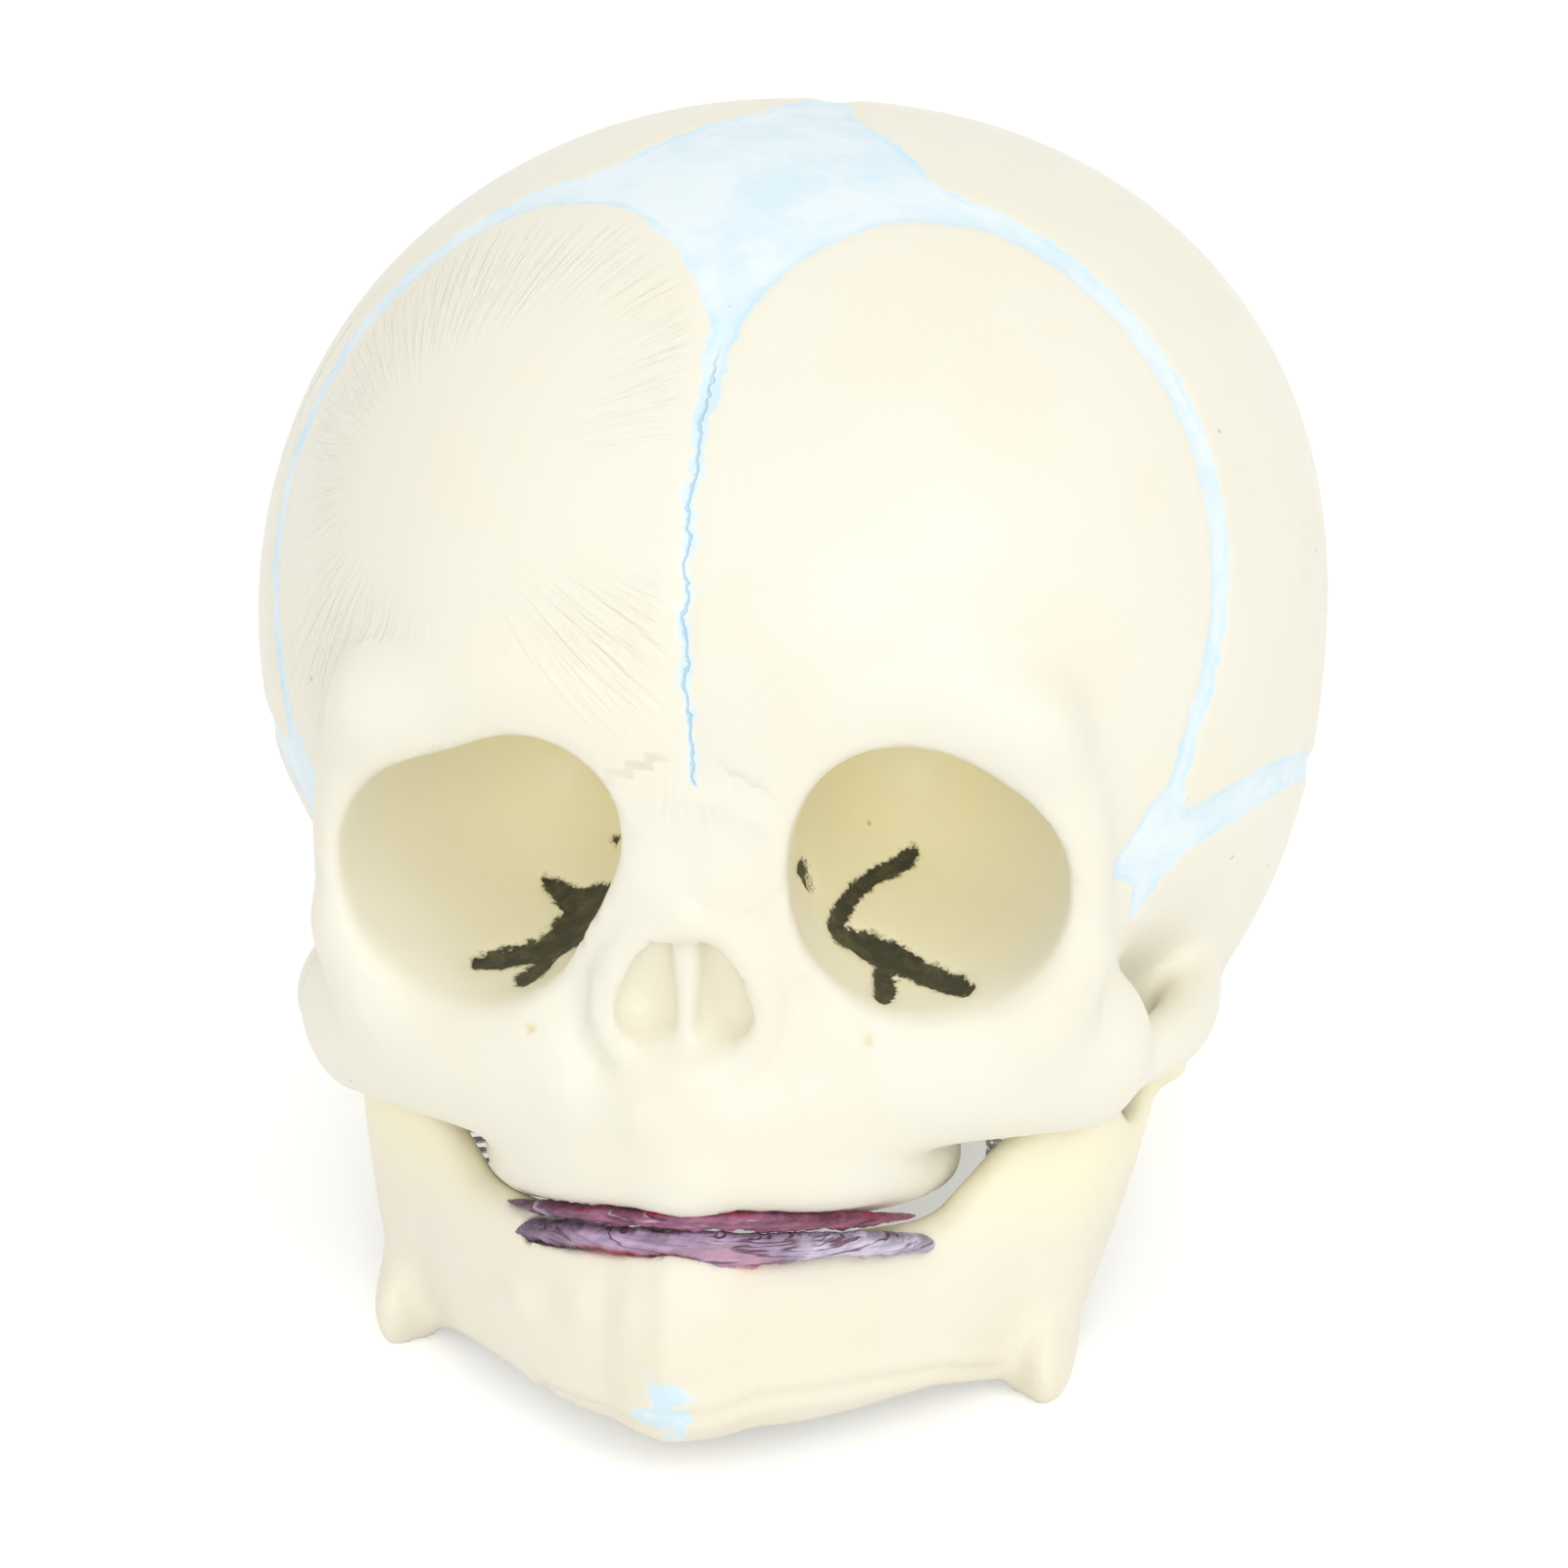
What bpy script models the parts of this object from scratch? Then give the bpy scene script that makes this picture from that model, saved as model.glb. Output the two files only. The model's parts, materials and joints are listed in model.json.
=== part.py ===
"""Life-size teaching model of a newborn's skull: separate bones, membranes, gums and a sprung lower jaw."""

import math

import bmesh
import bpy
import numpy as np
from mathutils import Matrix, Vector

# The skull is drawn level, in metres, with its face towards -Y, the middle of the braincase
# above the origin and the chin's lower edge near height zero. Left is the skull's own left, +X.

# Braincase
VAULT_HALF_WIDTH = 0.0469
VAULT_FRONT = 0.0476
VAULT_BACK = 0.0603
VAULT_TOP = 0.0472
VAULT_WALL = 0.0022
VAULT_ROUNDNESS = 2.19
BASE_LEVEL_SHARE = 0.29473684210526313
BASE_ROUNDNESS_SHARE = 1.3681592039800994
BASE_SLOPE_DEGREES = 16
BASE_SHARPNESS = 8
PARIETAL_EMINENCE = 0.0006
FRONTAL_EMINENCE = 0.0027
OCCIPITAL_EMINENCE = 0.0010
TEMPLE_HOLLOW = 0.0080

# Face. It hangs from the braincase: its arches stand inside the braincase's sides, its brow a
# little behind the forehead, and its height runs from the chin to the middle of the braincase.
FACE_HEIGHT = 0.0570
ARCH_INSET = 0.0104
BROW_SETBACK = 0.0006
CHEEK_RADIUS = 0.0065
RIM_RADIUS = 0.0026
FRONTAL_PROCESS_RADIUS = 0.0023
ARCH_RADIUS = 0.0024
NASAL_RIM_RADIUS = 0.0016
NASAL_BONE_RADIUS = 0.0031
ALVEOLAR_RADIUS = 0.0040
PTERYGOID_RADIUS = 0.0022
ORBIT_HALF_WIDTH = 0.0119
ORBIT_HALF_HEIGHT = 0.0136
ORBIT_DEPTH = 0.0235
ORBIT_TURN_DEGREES = 20
ORBIT_LEAN_DEGREES = 12
NASAL_HOLE_HALF_WIDTH = 0.0024
NASAL_HOLE_HALF_HEIGHT = 0.0047
NASAL_HOLE_DEPTH = 0.0055
SEPTUM_THICKNESS = 0.0010

# Base of the braincase
FORAMEN_HALF_WIDTH = 0.0075
FORAMEN_HALF_LENGTH = 0.0100

# Membranes between the bones
MEMBRANE_WALL = 0.0012
MEMBRANE_INSET = 0.0004
CROWN_REACH = 0.0120
METOPIC_WIDTH = 0.0018
CORONAL_WIDTH = 0.0026
SAGITTAL_WIDTH = 0.0026
LAMBDOID_WIDTH = 0.0022
SQUAMOSAL_WIDTH = 0.0034

# Lower jaw
JAW_THICKNESS = 0.0072
JAW_LEAN = 0.18
CONDYLE_HALF_WIDTH = 0.0042
CONDYLE_RADIUS = 0.0024
JAW_SECTION_POINTS = 14
SYMPHYSIS_WIDTH = 0.0030
GUM_RADIUS = 0.0019

# Springs and their pins
PIN_RADIUS = 0.0008
PIN_HEAD_RADIUS = 0.0016
PIN_HEAD_LENGTH = 0.0008
PIN_HEAD_CLEARANCE = 0.0007
PIN_SIDES = 16
WIRE_RADIUS = 0.00025
COIL_RADIUS = 0.0016
COIL_PITCH = 0.00105
COIL_TURNS = 8
POINTS_A_TURN = 8
LOOP_RADIUS = 0.0015
LOOP_START_DEGREES = -140
LOOP_STEP_DEGREES = 26
LOOP_POINTS = 11

# Fits
GAP = 0.0003
OVERRUN = 0.0030
CRUMB = 0.0040
WELD = 0.000005
FOOT_DEPTH = 0.0004
MOST_TILT_DEGREES = 20
TILT_STEPS = 40

# Fineness of the modelled surfaces
CRANIUM_VOXEL = 0.0011
CRANIUM_FACE_SHARE = 0.035
JAW_VOXEL = 0.0010
JAW_FACE_SHARE = 0.09
VAULT_CUTS = 11
INSIDE_CUTS = 7
SKIN_SMOOTHING = 8
ROUND_SIDES = 20
SUTURE_STEPS = 2

FACE_HALF_WIDTH = VAULT_HALF_WIDTH - ARCH_INSET
FACE_REACH = VAULT_FRONT - BROW_SETBACK
VAULT_CENTRE_HEIGHT = FACE_HEIGHT
BASE_DEPTH = VAULT_CENTRE_HEIGHT * (1 - BASE_LEVEL_SHARE)
VAULT_BOTTOM = BASE_DEPTH * BASE_ROUNDNESS_SHARE
VAULT_CENTRE = Vector((0, 0, VAULT_CENTRE_HEIGHT))
BASE_SLOPE = math.radians(BASE_SLOPE_DEGREES)
BASE_DOWN = Vector((0, -math.sin(BASE_SLOPE), -math.cos(BASE_SLOPE)))
SIDES = (("left", 1), ("right", -1))

# Places in the face, as shares of its half width, its reach and its height, for the left side

FACE_BLOB_SHARES = (
    ((0.93, 0.14, 0.49), (0.14, 0.13, 0.09)),  # root of the cheek arch, over the jaw's socket
    ((0.72, -0.17, 0.42), (0.30, 0.21, 0.12)),  # petrous part
    ((0.23, -0.18, 0.27), (0.09, 0.13, 0.05)),  # condyle of the occiput
    ((0.22, 0.77, 0.44), (0.33, 0.18, 0.11)),  # lower part of the maxilla
)
MIDLINE_BLOB_SHARES = (
    ((0.00, 0.85, 0.84), (0.18, 0.14, 0.21)),  # between the orbits
    ((0.00, 0.57, 0.42), (0.41, 0.36, 0.06)),  # palate
    ((0.00, 0.28, 0.58), (0.36, 0.28, 0.16)),  # body of the sphenoid
    ((0.00, 0.02, 0.37), (0.19, 0.21, 0.07)),  # basilar part
)
CHEEK_SHARES = (
    (0.00, 0.87, 0.48), (0.27, 0.86, 0.47), (0.55, 0.80, 0.47), (0.74, 0.71, 0.48), (0.82, 0.64, 0.48),
)
LATERAL_RIM_SHARES = (
    (0.74, 0.90, 1.04), (0.82, 0.85, 0.94), (0.85, 0.81, 0.81), (0.84, 0.79, 0.68), (0.78, 0.79, 0.60),
)
LOWER_RIM_SHARES = (
    (0.84, 0.79, 0.68), (0.78, 0.79, 0.60), (0.66, 0.80, 0.56), (0.49, 0.83, 0.56), (0.34, 0.89, 0.62),
)
BROW_SHARES = ((0.16, 0.95, 1.05), (0.36, 0.96, 1.11), (0.58, 0.94, 1.10), (0.74, 0.90, 1.04))
ARCH_SHARES = (
    (0.82, 0.66, 0.48), (0.96, 0.57, 0.49), (1.04, 0.40, 0.49), (1.05, 0.23, 0.50), (1.01, 0.06, 0.52),
    (0.93, -0.09, 0.54),
)
NASAL_BONE_SHARES = ((0.07, 0.92, 1.00), (0.08, 0.96, 0.91), (0.08, 1.01, 0.83))
FRONTAL_PROCESS_SHARES = ((0.17, 0.90, 0.95), (0.175, 0.93, 0.82), (0.21, 0.94, 0.68), (0.26, 0.90, 0.58))
NASAL_RIM_SHARES = (
    (0.00, 1.05, 0.81), (0.10, 1.03, 0.79), (0.19, 1.00, 0.71), (0.16, 1.01, 0.63), (0.08, 1.03, 0.59),
    (0.00, 1.04, 0.59),
)
ALVEOLAR_SHARES = (
    (0.52, 0.60, 0.38), (0.48, 0.70, 0.385), (0.34, 0.83, 0.395), (0.18, 0.90, 0.40), (0.00, 0.925, 0.40),
)
PTERYGOID_SHARES = ((0.26, 0.32, 0.53), (0.29, 0.31, 0.35))
FACE_BARS = (
    (CHEEK_RADIUS, CHEEK_SHARES),
    (RIM_RADIUS, LATERAL_RIM_SHARES),
    (RIM_RADIUS, LOWER_RIM_SHARES),
    (RIM_RADIUS, BROW_SHARES),
    (FRONTAL_PROCESS_RADIUS, FRONTAL_PROCESS_SHARES),
    (ARCH_RADIUS, ARCH_SHARES),
    (NASAL_BONE_RADIUS, NASAL_BONE_SHARES),
    (NASAL_RIM_RADIUS, NASAL_RIM_SHARES),
    (ALVEOLAR_RADIUS, ALVEOLAR_SHARES),
    (PTERYGOID_RADIUS, PTERYGOID_SHARES),
)
ORBIT_SHARES = (0.508, 0.87, 0.82)
HOLLOW_SHARES = ((0.73, 0.41, 0.43), (0.23, 0.20, 0.18))
MIDFACE_BLOCK_SHARES = (
    ((0.00, 0.72, 0.40), (0.36, 0.55, 0.42)),
    ((0.00, 0.83, 0.33), (0.71, 0.45, 0.33)),
)
NASAL_HOLE_SHARES = (0.083, 1.055, 0.70)
CONDYLE_SHARES = (0.92, 0.18, 0.41)
UPPER_GUM_SHARES = ((0.50, 0.735, 0.32), (0.34, 0.85, 0.34), (0.18, 0.925, 0.353), (0.00, 0.95, 0.358))
LOWER_GUM_SHARES = ((0.52, 0.735, 0.262), (0.36, 0.865, 0.27), (0.19, 0.945, 0.28), (0.00, 0.97, 0.285))
GUM_TAPER_SHARES = (0.45, 0.9, 1.0, 1.0)

# Half of the lower jaw, chin to condyle: place across and forwards, lower and upper edge, thickness
JAW_SECTION_SHARES = (
    (0.00, 0.93, 0.00, 0.28, 0.97),
    (0.19, 0.89, -0.01, 0.28, 1.00),
    (0.38, 0.79, 0.00, 0.28, 1.03),
    (0.55, 0.70, 0.02, 0.27, 0.92),
    (0.68, 0.62, 0.01, 0.28, 0.72),
    (0.80, 0.56, -0.02, 0.32, 0.50),
    (0.84, 0.50, 0.01, 0.41, 0.44),
    (0.87, 0.43, 0.09, 0.40, 0.42),
    (0.89, 0.34, 0.18, 0.35, 0.42),
    (0.91, 0.26, 0.27, 0.36, 0.42),
    (0.92, 0.19, 0.34, 0.41, 0.47),
)
GONIAL_SHARES = ((0.79, 0.57, 0.035), (0.055, 0.095, 0.07))
CHIN_SHARES = ((0.00, 0.955, 0.13), (0.12, 0.06, 0.13))
JAW_CUT_SHARE = 0.40

# Saw cuts through the face, in the same shares
FACE_TOP_SHARES = ((0.00, 0.965), (0.24, 0.965), (0.74, 0.885), (1.25, 0.885))
FACE_BACK_SHARE = 0.574
FACE_BACK_VAULT_SHARE = 0.6615138592750534
WING_FRONT_SHARES = ((0.60, 0.574), (0.90, 0.64), (1.15, 0.72))
WING_FLOOR_SHARE = 0.605
WING_TOP_SHARE = 0.90
WING_BACK_SHARE = 0.25
CHEEK_SUTURE_SHARES = ((0.45, 0.74), (0.48, 0.58), (0.55, 0.46), (0.62, 0.30))
ARCH_SUTURE_SHARES = ((0.90, 0.30, 0.38), (1.20, 0.30, 0.62))
NASAL_SUTURE_SHARES = ((0.105, 1.00), (0.115, 0.91), (0.125, 0.80), (0.13, 0.75))
NASAL_BACK_SHARE = 0.87
FACE_FLOOR_SHARE = 0.10
FACE_FRONT_SHARE = 1.25
NASAL_OVERRUN_SHARE = 0.02

# Sutures of the vault, as azimuth and elevation in degrees, with a share of the suture's width
METOPIC_DEGREES = ((0, -2.0, 0.7), (0, 8, 0.7), (0, 22, 0.9), (0, 36, 1.2), (0, 48, 1.8))
CORONAL_DEGREES = (
    (38, 63, 2.2), (48, 59, 1.5), (56.5, 52, 1.0), (61, 43, 0.8), (62, 35, 0.8), (61.5, 27, 0.8),
    (59.5, 18, 0.8), (56, 9, 0.7), (53.5, 2.5, 0.7), (51, -6, 0.9),
)
SAGITTAL_DEGREES = ((180, 74, 1.6), (180, 66, 1.0), (180, 50, 0.9), (180, 38, 0.9), (180, 28, 1.1))
LAMBDOID_DEGREES = ((178, 26, 1.1), (165, 19, 1.0), (150, 6, 0.9), (137, -8, 0.9), (127, -18, 1.1))
SQUAMOSAL_DEGREES = (
    (51, -9.5, 1.2), (60, -8, 1.0), (70, -7, 0.9), (85, -9, 0.9), (100, -12, 0.8), (114, -16.5, 0.8),
    (124, -21, 0.9),
)
ANTERIOR_FONTANELLE_DEGREES = (
    (2, 46.5), (5, 51.5), (13, 57), (27, 61.0), (38, 61.0), (46, 64.5), (60, 72), (90, 78), (140, 77),
    (174, 71),
)
POSTERIOR_FONTANELLE_DEGREES = ((179, 32), (175, 27), (172, 22.5), (177, 22.0))
SPHENOIDAL_FONTANELLE_DEGREES = (
    (43, -10.5), (46.5, -7), (49, -3.5), (53, -3.5), (55, -6.5), (58, -10), (54, -13), (52.2, -18),
    (50.2, -18), (48.8, -13),
)
MASTOID_FONTANELLE_DEGREES = ((120, -19), (124, -15.5), (128, -17), (131, -21), (127, -28), (123, -24.5))

# Saw cuts through the base: vault directions in degrees, then places in shares of the face
SPHENOTEMPORAL_DEGREES = ((51.2, -15), (54, -24), (57, -33))
SPHENOTEMPORAL_SHARES = ((0.80, 0.30, 0.47), (0.58, 0.20, 0.42), (0.26, 0.17, 0.36), (0.00, 0.17, 0.36))
OCCIPITOTEMPORAL_DEGREES = ((126.5, -25), (124, -36))
OCCIPITOTEMPORAL_SHARES = ((0.72, -0.55, 0.26), (0.58, -0.26, 0.27), (0.40, -0.02, 0.30), (0.24, 0.17, 0.35))
SQUAMA_LATERAL_SHARES = ((0.00, -0.42, 0.22), (0.20, -0.44, 0.22), (0.45, -0.50, 0.22), (0.80, -0.58, 0.25))
BASILAR_LATERAL_SHARES = ((0.12, -0.15, 0.25), (0.24, -0.08, 0.27), (0.45, 0.02, 0.32))
FORAMEN_SHARES = (0.00, -0.2893617021276596, 0.00)
CURTAIN_VAULT_SHARE = 1.05
CURTAIN_BASE_SHARE = 1.5
CURTAIN_INNER_SHARE = 0.6

# Nasal septum, pins and springs, in shares of the face
SEPTUM_SHARES = ((0.00, 0.998, 0.703), (0.014, 0.055, 0.09))
UPPER_PIN_SHARES = (0.65, 0.464, 0.43)
UPPER_PIN_ROOT_SHARE = 0.41
LOWER_PIN_SHARES = (0.65, 0.415, 0.158)
LOWER_PIN_ROOT_SHARE = 0.877

# A place on each bone, by which its piece of the cut cranium is known
VAULT_SEEDS = (("occipital_squama", (180, -10)),)
MIDDLE_SEEDS = (("occipital_basilar", (0, 0.02, 0.30)), ("sphenoid_bone", (0, 0.28, 0.58)))
VAULT_SIDE_SEEDS = (
    ("frontal_bone", (25, 30)),
    ("parietal_bone", (110, 30)),
    ("temporal_bone", (85, -20)),
)
FACE_SIDE_SEEDS = (
    ("occipital_lateral", (0.45, -0.30, 0.24)),
    ("zygomatic_bone", (0.95, 0.62, 0.50)),
    ("maxilla", (0.30, 0.90, 0.45)),
    ("nasal_bone", (0.06, 1.00, 0.88)),
)


def aim(azimuth_degrees, elevation_degrees):
    """A direction from the middle of the braincase: azimuth from the face to the left, elevation upwards."""
    azimuth = math.radians(azimuth_degrees)
    elevation = math.radians(elevation_degrees)
    flat = math.cos(elevation)
    return Vector((flat * math.sin(azimuth), -flat * math.cos(azimuth), math.sin(elevation)))


def spot(shares, side=1):
    """A place in the face, in shares of its half width, its reach forwards and its height."""
    return Vector((side * shares[0] * FACE_HALF_WIDTH, -shares[1] * FACE_REACH, shares[2] * FACE_HEIGHT))


def extent(shares):
    return Vector((shares[0] * FACE_HALF_WIDTH, shares[1] * FACE_REACH, shares[2] * FACE_HEIGHT))


# Gentle swellings and hollows of the vault: direction, height and spread
SWELLINGS = (
    (aim(110, 26), PARIETAL_EMINENCE, 24),
    (aim(-110, 26), PARIETAL_EMINENCE, 24),
    (aim(25, 19), FRONTAL_EMINENCE, 22),
    (aim(-25, 19), FRONTAL_EMINENCE, 22),
    (aim(180, -8), OCCIPITAL_EMINENCE, 28),
    (aim(62, -38), -TEMPLE_HOLLOW, 22),
    (aim(-62, -38), -TEMPLE_HOLLOW, 22),
)


def vault_radius(direction):
    """From the middle of the braincase to its outside: an egg with a flattened base."""
    length = VAULT_FRONT if direction.y < 0 else VAULT_BACK
    height = VAULT_TOP if direction.z > 0 else VAULT_BOTTOM
    parts = (direction.x / VAULT_HALF_WIDTH, direction.y / length, direction.z / height)
    radius = sum(abs(part) ** VAULT_ROUNDNESS for part in parts) ** (-1 / VAULT_ROUNDNESS)
    for centre, rise, spread_degrees in SWELLINGS:
        radius += rise * math.exp((direction.dot(centre) - 1) / (1 - math.cos(math.radians(spread_degrees))))
    facing = direction.dot(BASE_DOWN)
    if facing > 0:
        near = (radius * facing / BASE_DEPTH) ** BASE_SHARPNESS
        radius /= (1 + near) ** (1 / BASE_SHARPNESS)
    return radius


def vault_point(direction, inset=0):
    return VAULT_CENTRE + direction * (vault_radius(direction) - inset)


# Making and joining shapes


def fresh_collection(name):
    collection = bpy.data.collections.new(name)
    bpy.context.scene.collection.children.link(collection)
    return collection


def clear_scene():
    for thing in list(bpy.data.objects):
        bpy.data.objects.remove(thing, do_unlink=True)


def from_bmesh(name, shape, collection):
    bmesh.ops.recalc_face_normals(shape, faces=shape.faces)
    mesh = bpy.data.meshes.new(name)
    shape.to_mesh(mesh)
    shape.free()
    made = bpy.data.objects.new(name, mesh)
    collection.objects.link(made)
    return made


def bake(thing):
    """Replaces an object's mesh, or curve, with what its modifiers make of it."""
    bpy.context.view_layer.update()
    graph = bpy.context.evaluated_depsgraph_get()
    mesh = bpy.data.meshes.new_from_object(thing.evaluated_get(graph))
    if thing.type == "MESH":
        thing.modifiers.clear()
        thing.data = mesh
        return thing
    name = thing.name
    made = bpy.data.objects.new("baked", mesh)
    thing.users_collection[0].objects.link(made)
    bpy.data.objects.remove(thing, do_unlink=True)
    made.name = name
    shape = bmesh.new()
    shape.from_mesh(mesh)
    bmesh.ops.remove_doubles(shape, verts=shape.verts, dist=GAP / 30)
    bmesh.ops.recalc_face_normals(shape, faces=shape.faces)
    shape.to_mesh(mesh)
    shape.free()
    return made


def combine(thing, others, operation):
    """Cuts, joins or intersects a mesh with each of the others, one after the other."""
    for other in others:
        step = thing.modifiers.new("combine", "BOOLEAN")
        step.operation = operation
        step.solver = "EXACT"
        step.object = other
        bake(thing)
    return thing


def carve(thing, cutters):
    """Cuts a mesh with many shapes in one step. The exact solver loses pieces of so many thin cuts."""
    group = bpy.data.collections.new("group")
    for cutter in cutters:
        group.objects.link(cutter)
    step = thing.modifiers.new("carve", "BOOLEAN")
    step.operation = "DIFFERENCE"
    step.solver = "MANIFOLD"
    step.operand_type = "COLLECTION"
    step.collection = group
    bake(thing)
    bpy.data.collections.remove(group)
    return thing


def ellipsoid(name, collection, centre, radii, turn_degrees=0, lean_degrees=0, segments=ROUND_SIDES):
    shape = bmesh.new()
    turn = Matrix.Rotation(math.radians(turn_degrees), 4, "Z")
    lean = Matrix.Rotation(math.radians(lean_degrees), 4, "X")
    place = Matrix.Translation(centre) @ turn @ lean @ Matrix.Diagonal((*radii, 1))
    bmesh.ops.create_uvsphere(shape, u_segments=segments, v_segments=segments // 2, radius=1, matrix=place)
    return from_bmesh(name, shape, collection)


def box(name, collection, low, high):
    shape = bmesh.new()
    place = Matrix.Translation((low + high) / 2) @ Matrix.Diagonal((*(high - low), 1))
    bmesh.ops.create_cube(shape, size=1, matrix=place)
    return from_bmesh(name, shape, collection)


def star_solid(name, collection, inset, cuts=VAULT_CUTS):
    """The braincase as a closed surface, drawn in by an inset: a cube whose points are moved out to it."""
    shape = bmesh.new()
    bmesh.ops.create_cube(shape, size=2)
    bmesh.ops.subdivide_edges(shape, edges=shape.edges, cuts=cuts, use_grid_fill=True)
    for vertex in shape.verts:
        direction = Vector([math.tan(part * math.pi / 4) for part in vertex.co]).normalized()
        vertex.co = vault_point(direction, inset)
    return from_bmesh(name, shape, collection)


def tube(name, collection, points, radius, tapers=None, smooth=True):
    curve = bpy.data.curves.new(name, "CURVE")
    curve.dimensions = "3D"
    curve.bevel_depth = radius
    curve.bevel_resolution = 2
    curve.use_fill_caps = True
    spline = curve.splines.new("NURBS" if smooth else "POLY")
    spline.points.add(len(points) - 1)
    for place, point in zip(spline.points, points):
        place.co = (*point, 1)
    for place, taper in zip(spline.points, tapers or ()):
        place.radius = taper
    spline.order_u = 3
    spline.use_endpoint_u = True
    curve.resolution_u = 4
    made = bpy.data.objects.new(name, curve)
    collection.objects.link(made)
    return made


def loft(name, collection, sections):
    """A closed skin over rings of points, one ring after the other."""
    shape = bmesh.new()
    rings = [[shape.verts.new(point) for point in ring] for ring in sections]
    count = len(rings[0])
    for ring, following in zip(rings, rings[1:]):
        for k in range(count):
            after = (k + 1) % count
            shape.faces.new((ring[k], ring[after], following[after], following[k]))
    shape.faces.new(rings[0])
    shape.faces.new(rings[-1])
    return from_bmesh(name, shape, collection)


def sheet(name, collection, rows, thickness=GAP):
    """A thin wall on a grid of points: the saw cut that parts two bones."""
    shape = bmesh.new()
    grid = [[shape.verts.new(point) for point in row] for row in rows]
    for row, following in zip(grid, grid[1:]):
        for k in range(len(row) - 1):
            shape.faces.new((row[k], row[k + 1], following[k + 1], following[k]))
    made = from_bmesh(name, shape, collection)
    wall = made.modifiers.new("wall", "SOLIDIFY")
    wall.thickness = thickness
    wall.offset = 0
    return bake(made)


def smooth_path(points, steps):
    """Points along a smooth curve through the given ones."""
    path = []
    for k in range(len(points) - 1):
        before = points[max(k - 1, 0)]
        start = points[k]
        end = points[k + 1]
        after = points[min(k + 2, len(points) - 1)]
        for step in range(steps):
            t = step / steps
            path.append(
                start
                + t * (end - before) / 2
                + t * t * (before - 2.5 * start + 2 * end - after / 2)
                + t * t * t * (1.5 * (start - end) + (after - before) / 2)
            )
    path.append(points[-1])
    return path


# Blanks of the cranium and the lower jaw


def both_sides(shares):
    """One side's places, then the other side's in turn back: a run across the midline."""
    return [spot(place) for place in shares] + [spot(place, -1) for place in reversed(shares[:-1])]


def orbits(collection, grown=0):
    radii = Vector((ORBIT_HALF_WIDTH + grown, ORBIT_DEPTH + grown, ORBIT_HALF_HEIGHT + grown))
    made = []
    for _, side in SIDES:
        place = spot(ORBIT_SHARES, side)
        turn = side * ORBIT_TURN_DEGREES
        made.append(ellipsoid("orbit_cut", collection, place, radii, turn, ORBIT_LEAN_DEGREES))
    return made


def hollows(collection, grown=0):
    """The open spaces behind the cheekbones, where the jaw's coronoid processes stand."""
    radii = extent(HOLLOW_SHARES[1]) + Vector((grown, grown, grown))
    return [ellipsoid("hollow_cut", collection, spot(HOLLOW_SHARES[0], side), radii) for _, side in SIDES]


def cavity(collection):
    """The inside of the braincase: the vault less its wall, the orbits' walls and the solid midface."""
    inside = star_solid("cavity", collection, VAULT_WALL, INSIDE_CUTS)
    blocks = []
    for centre, half in MIDFACE_BLOCK_SHARES:
        blocks.append(box("midface", collection, spot(centre) - extent(half), spot(centre) + extent(half)))
    return carve(inside, blocks + orbits(collection, VAULT_WALL) + hollows(collection, VAULT_WALL))


def merged(name, collection, pieces, voxel, face_share):
    """One closed skin over overlapping shapes, smoothed where they meet."""
    shape = bmesh.new()
    for piece in pieces:
        if piece.type != "MESH":
            piece = bake(piece)
        shape.from_mesh(piece.data)
        bpy.data.objects.remove(piece, do_unlink=True)
    made = from_bmesh(name, shape, collection)
    skin = made.modifiers.new("skin", "REMESH")
    skin.mode = "VOXEL"
    skin.voxel_size = voxel
    ease = made.modifiers.new("ease", "SMOOTH")
    ease.iterations = SKIN_SMOOTHING
    fewer = made.modifiers.new("fewer", "DECIMATE")
    fewer.ratio = face_share
    return bake(made)


def cranium_blank(collection):
    pieces = [star_solid("vault", collection, 0)]
    for centre, radii in MIDLINE_BLOB_SHARES:
        pieces.append(ellipsoid("blob", collection, spot(centre), extent(radii)))
    for _, side in SIDES:
        for centre, radii in FACE_BLOB_SHARES:
            pieces.append(ellipsoid("blob", collection, spot(centre, side), extent(radii)))
        for radius, places in FACE_BARS:
            pieces.append(tube("bar", collection, [spot(place, side) for place in places], radius))
    return merged("cranium", collection, pieces, CRANIUM_VOXEL, CRANIUM_FACE_SHARE)


def jaw_section(place, run, side):
    """An upright oval through the jaw, square to its run in plan, leaning outwards with height."""
    across, forwards, low, high, thick = place
    outward = Vector((run.y, -run.x, 0)).normalized() * -side
    centre = spot((across, forwards, (low + high) / 2), side)
    half_height = (high - low) * FACE_HEIGHT / 2
    ring = []
    for k in range(JAW_SECTION_POINTS):
        angle = 2 * math.pi * k / JAW_SECTION_POINTS
        rise = half_height * math.sin(angle)
        reach = thick * JAW_THICKNESS / 2 * math.cos(angle)
        lean = side * JAW_LEAN * across * rise
        ring.append(centre + outward * reach + Vector((lean, 0, rise)))
    return ring


def jaw_half(collection, side):
    """The jaw from the chin to the neck of the condyle, carried a little over the midline."""
    start = (-JAW_SECTION_SHARES[1][0], *JAW_SECTION_SHARES[1][1:])
    rows = (start,) + JAW_SECTION_SHARES
    places = [spot((row[0], row[1], 0), side) for row in rows]
    sections = []
    for k, row in enumerate(rows):
        run = places[min(k + 1, len(rows) - 1)] - places[max(k - 1, 0)]
        sections.append(jaw_section(row, run, side))
    return loft("jaw_half", collection, sections[1:])


def condyle(collection, side, grown=0):
    radii = Vector((CONDYLE_HALF_WIDTH + grown, CONDYLE_RADIUS + grown, CONDYLE_RADIUS + grown))
    return ellipsoid("condyle", collection, spot(CONDYLE_SHARES, side), radii)


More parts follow.
